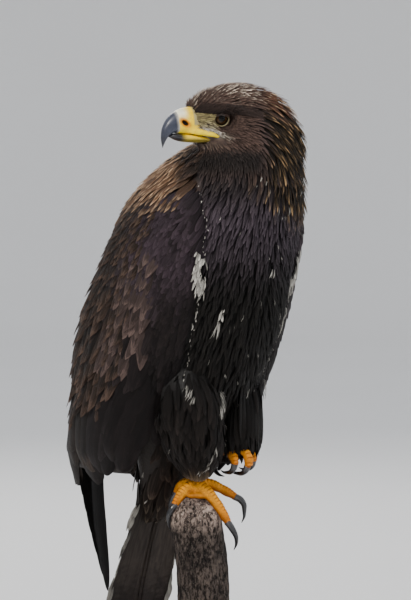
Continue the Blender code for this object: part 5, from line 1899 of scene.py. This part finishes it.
def round_sizes(box):
    """The middle and the radius of an upright round node, and its lowest and highest level, in metres."""
    low, high = (np.array(corner) for corner in box)
    return (low + high)[:2] / 2, (high - low)[0] / 2, low[2], high[2]


def place_turned(name, middle, profile, around, finish, slot, node):
    """Makes a turned piece from its profile of radius and height, in metres."""
    obj = loft(name, centimetres(level_rings(profile, middle, around)))
    obj.data.set_sharp_from_angle(angle=math.radians(35))
    place_piece(obj, finish, slot, node)


def stand_wood_finish():
    f = Finish("stand_wood", Roughness=0.38, Specular_IOR_Level=0.45, Coat_Weight=0.25, Coat_Roughness=0.2)
    place = f.place()
    warp = f.noise(place, 7.0)
    growth = f.math("SINE", f.plus(f.times(f.parts(place)[1], 210.0), f.times(warp, 26.0)))
    fibre = f.noise(place, (30.0, 900.0, 300.0), 5.0, 0.6)
    colour = f.blend(f.span(growth, -0.8, 0.9), srgb(84, 53, 35), srgb(104, 67, 44))
    colour = f.dim(colour, f.vary(fibre, 0.72, 1.18))
    return f.set(Base_Color=colour, Normal=f.bump(fibre, 0.0002, 0.4), Roughness=f.vary(fibre, 0.32, 0.46))


def stand_metal_finish():
    f = Finish("stand_metal", Roughness=0.32, Metallic=1.0)
    place = f.place()
    brushed = f.noise(place, (90.0, 90.0, 2600.0), 4.0)
    steel = f.blend(f.vary(f.noise(place, 60.0), 0.0, 1.0), srgb(150, 148, 146), srgb(176, 174, 172))
    colour = f.dim(steel, f.vary(brushed, 0.86, 1.1))
    normal = f.bump(brushed, 0.00006, 0.4)
    return f.set(Base_Color=colour, Normal=normal, Roughness=f.vary(brushed, 0.26, 0.4))


def make_stand():
    middle, radius, _, top = round_sizes(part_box("stand_base"))
    chamfer, step, groove = 0.003, radius * 0.93, 0.0185
    profile = [(0.01, 0), (radius * 0.5, 0), (radius - chamfer, 0), (radius, chamfer), (radius, 0.011)]
    profile += [(radius - 0.004 * (1 - math.cos(a)), 0.011 + 0.005 * math.sin(a))
                for a in np.linspace(0.2, 1.57, 6)]
    profile += [(step + 0.004, 0.0165), (step + 0.0035, groove)]
    profile += [(step + 0.003 - 0.006 * (1 - math.cos(a)), groove + (top - groove) * math.sin(a))
                for a in np.linspace(0.15, 1.57, 8)]
    profile += [(radius * share, top) for share in (0.7, 0.5, 0.3, 0.1, 0.01)]
    place_turned("stand_base_wood", middle, profile, 128, stand_wood_finish(), "stand_wood", "stand_base")

    middle, radius, low, high = round_sizes(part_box("stand_rod"))
    collars = ((1.9, low), (1.9, low + 0.003), (1.5, low + 0.005), (1.5, low + 0.009), (0.85, low + 0.01),
               (0.85, high - 0.006), (1.2, high - 0.005), (1.2, high))
    profile = [(0.001, low), *((radius * share, height) for share, height in collars), (0.001, high)]
    place_turned("stand_rod_steel", middle, profile, 48, stand_metal_finish(), "stand_metal", "stand_rod")


# ---------------------------------------------------------------- the stage


CAMERA_AZIMUTH = math.radians(-45)
CAMERA_RISE = math.radians(2)
CAMERA_FAR = 3.0
VIEW_HEIGHT = 0.652                     # how much of the upright at the object the frame takes in, in metres
AIM = (0.0092, 0.214)                   # to the right of and above the perch's top, in metres
SENSOR_WIDTH = 36
FLOOR_REACH, BACKDROP_BEND, BACKDROP_TOP = 9.0, 2.0, 9.0        # metres


def face_along(obj, way):
    """Turns a camera or a light to look along a direction."""
    obj.rotation_mode = "QUATERNION"
    obj.rotation_quaternion = Vector(way).to_track_quat("-Z", "Y")


def make_camera():
    right = np.array((math.cos(CAMERA_AZIMUTH), math.sin(CAMERA_AZIMUTH), 0))
    towards = np.array((math.sin(CAMERA_AZIMUTH), -math.cos(CAMERA_AZIMUTH), 0))
    aim = STANCE / 100 + right * AIM[0] + UP * AIM[1]
    back = towards * math.cos(CAMERA_RISE) + UP * math.sin(CAMERA_RISE)
    data = bpy.data.cameras.new("camera")
    data.sensor_width = SENSOR_WIDTH
    data.lens = SENSOR_WIDTH * CAMERA_FAR / VIEW_HEIGHT
    data.clip_end = 50
    camera = link(bpy.data.objects.new("camera", data))
    camera.location = aim + back * CAMERA_FAR
    face_along(camera, -back)
    bpy.context.scene.camera = camera


def make_floor():
    """A wide pale floor that curves up into a backdrop all round, beyond every camera."""
    around = 96
    profile = [(0.02, 0), (2.0, 0), (FLOOR_REACH, 0)]
    for angle in np.linspace(0.15, math.pi / 2, 14):
        profile.append((FLOOR_REACH + BACKDROP_BEND * math.sin(angle), BACKDROP_BEND * (1 - math.cos(angle))))
    profile.append((FLOOR_REACH + BACKDROP_BEND, BACKDROP_TOP))
    # The sides and the middle of the floor, open at the top
    quads = ring_quads(len(profile), around)[: (len(profile) - 1) * around + around // 2 - 1]
    mesh = bpy.data.meshes.new("floor")
    mesh.from_pydata(level_rings(profile, (0, 0), around).reshape(-1, 3).tolist(), [], quads.tolist())
    mesh.shade_smooth()
    f = Finish("floor", Roughness=0.85, Specular_IOR_Level=0.2)
    cloud = f.vary(f.noise(f.place(), 1.5, 2.0), 0.0, 1.0)
    mesh.materials.append(f.set(Base_Color=f.blend(cloud, (0.9, 0.895, 0.88), (0.91, 0.905, 0.89))))
    floor = link(bpy.data.objects.new("floor", mesh))


def area_light(name, place, aim, size, power, colour):
    data = bpy.data.lights.new(name, "AREA")
    data.shape = "DISK"
    data.size = size
    data.energy = power
    data.color = colour
    light = link(bpy.data.objects.new(name, data))
    light.location = place
    face_along(light, Vector(aim) - Vector(place))


def make_lights():
    area_light("key", (-2.5, -1.1, 2.9), (0, 0, 0.5), 0.9, 105, (1.0, 0.97, 0.93))
    area_light("fill", (1.6, -2.6, 1.2), (0, 0, 0.4), 2.2, 16, (0.93, 0.96, 1.0))
    area_light("rim", (1.6, 2.4, 2.2), (0, 0, 0.5), 1.2, 30, (1.0, 0.98, 0.96))
    world = bpy.data.worlds.new("studio")
    world.use_nodes = True
    background = world.node_tree.nodes["Background"]
    background.inputs["Color"].default_value = (0.9, 0.93, 1.0, 1)
    background.inputs["Strength"].default_value = 0.85
    bpy.context.scene.world = world


# ---------------------------------------------------------------- the whole model


def main():
    body = Surface(["head", "neck", "trunk", "cere"], 0.0018, 5)
    wings = [Wing(name, side) for name, side in SIDES.items()]
    covers = [wing.surface for wing in wings]
    gold = plumage_finish("plumage_gold", 0.04, 0.62, 9.0)
    dark = plumage_finish("plumage_dark", 0.02, 0.6, 7.0)
    shoulders = Surface(["neck", "trunk", "wing_left", "wing_right"], 0.0025, 8)
    outside = Surface(["neck", "trunk", "wing_left", "wing_right", "leg_left", "leg_right"], 0.0025, 2)
    make_body_coats(body, covers, gold)
    face = Surface(["head", "cere", "eye_left", "eye_right"], 0.0012, 3)
    make_brows(face, gold)
    make_gape_bristles(face, gold)
    make_mantle(shoulders, dark)
    make_flecks(outside, dark)
    make_apron(outside, dark)
    for wing in wings:
        make_wing(wing, dark)
        make_primaries(wing.name, wing.side, dark)
        make_leg_coat(wing.name, covers, dark)
    make_tail(dark)
    make_skin()
    make_claws()
    make_upper_bill()
    make_lower_bill()
    make_cere()
    make_eyes()
    make_lids()
    make_perch()
    make_stand()
    make_floor()
    make_lights()
    make_camera()


main()
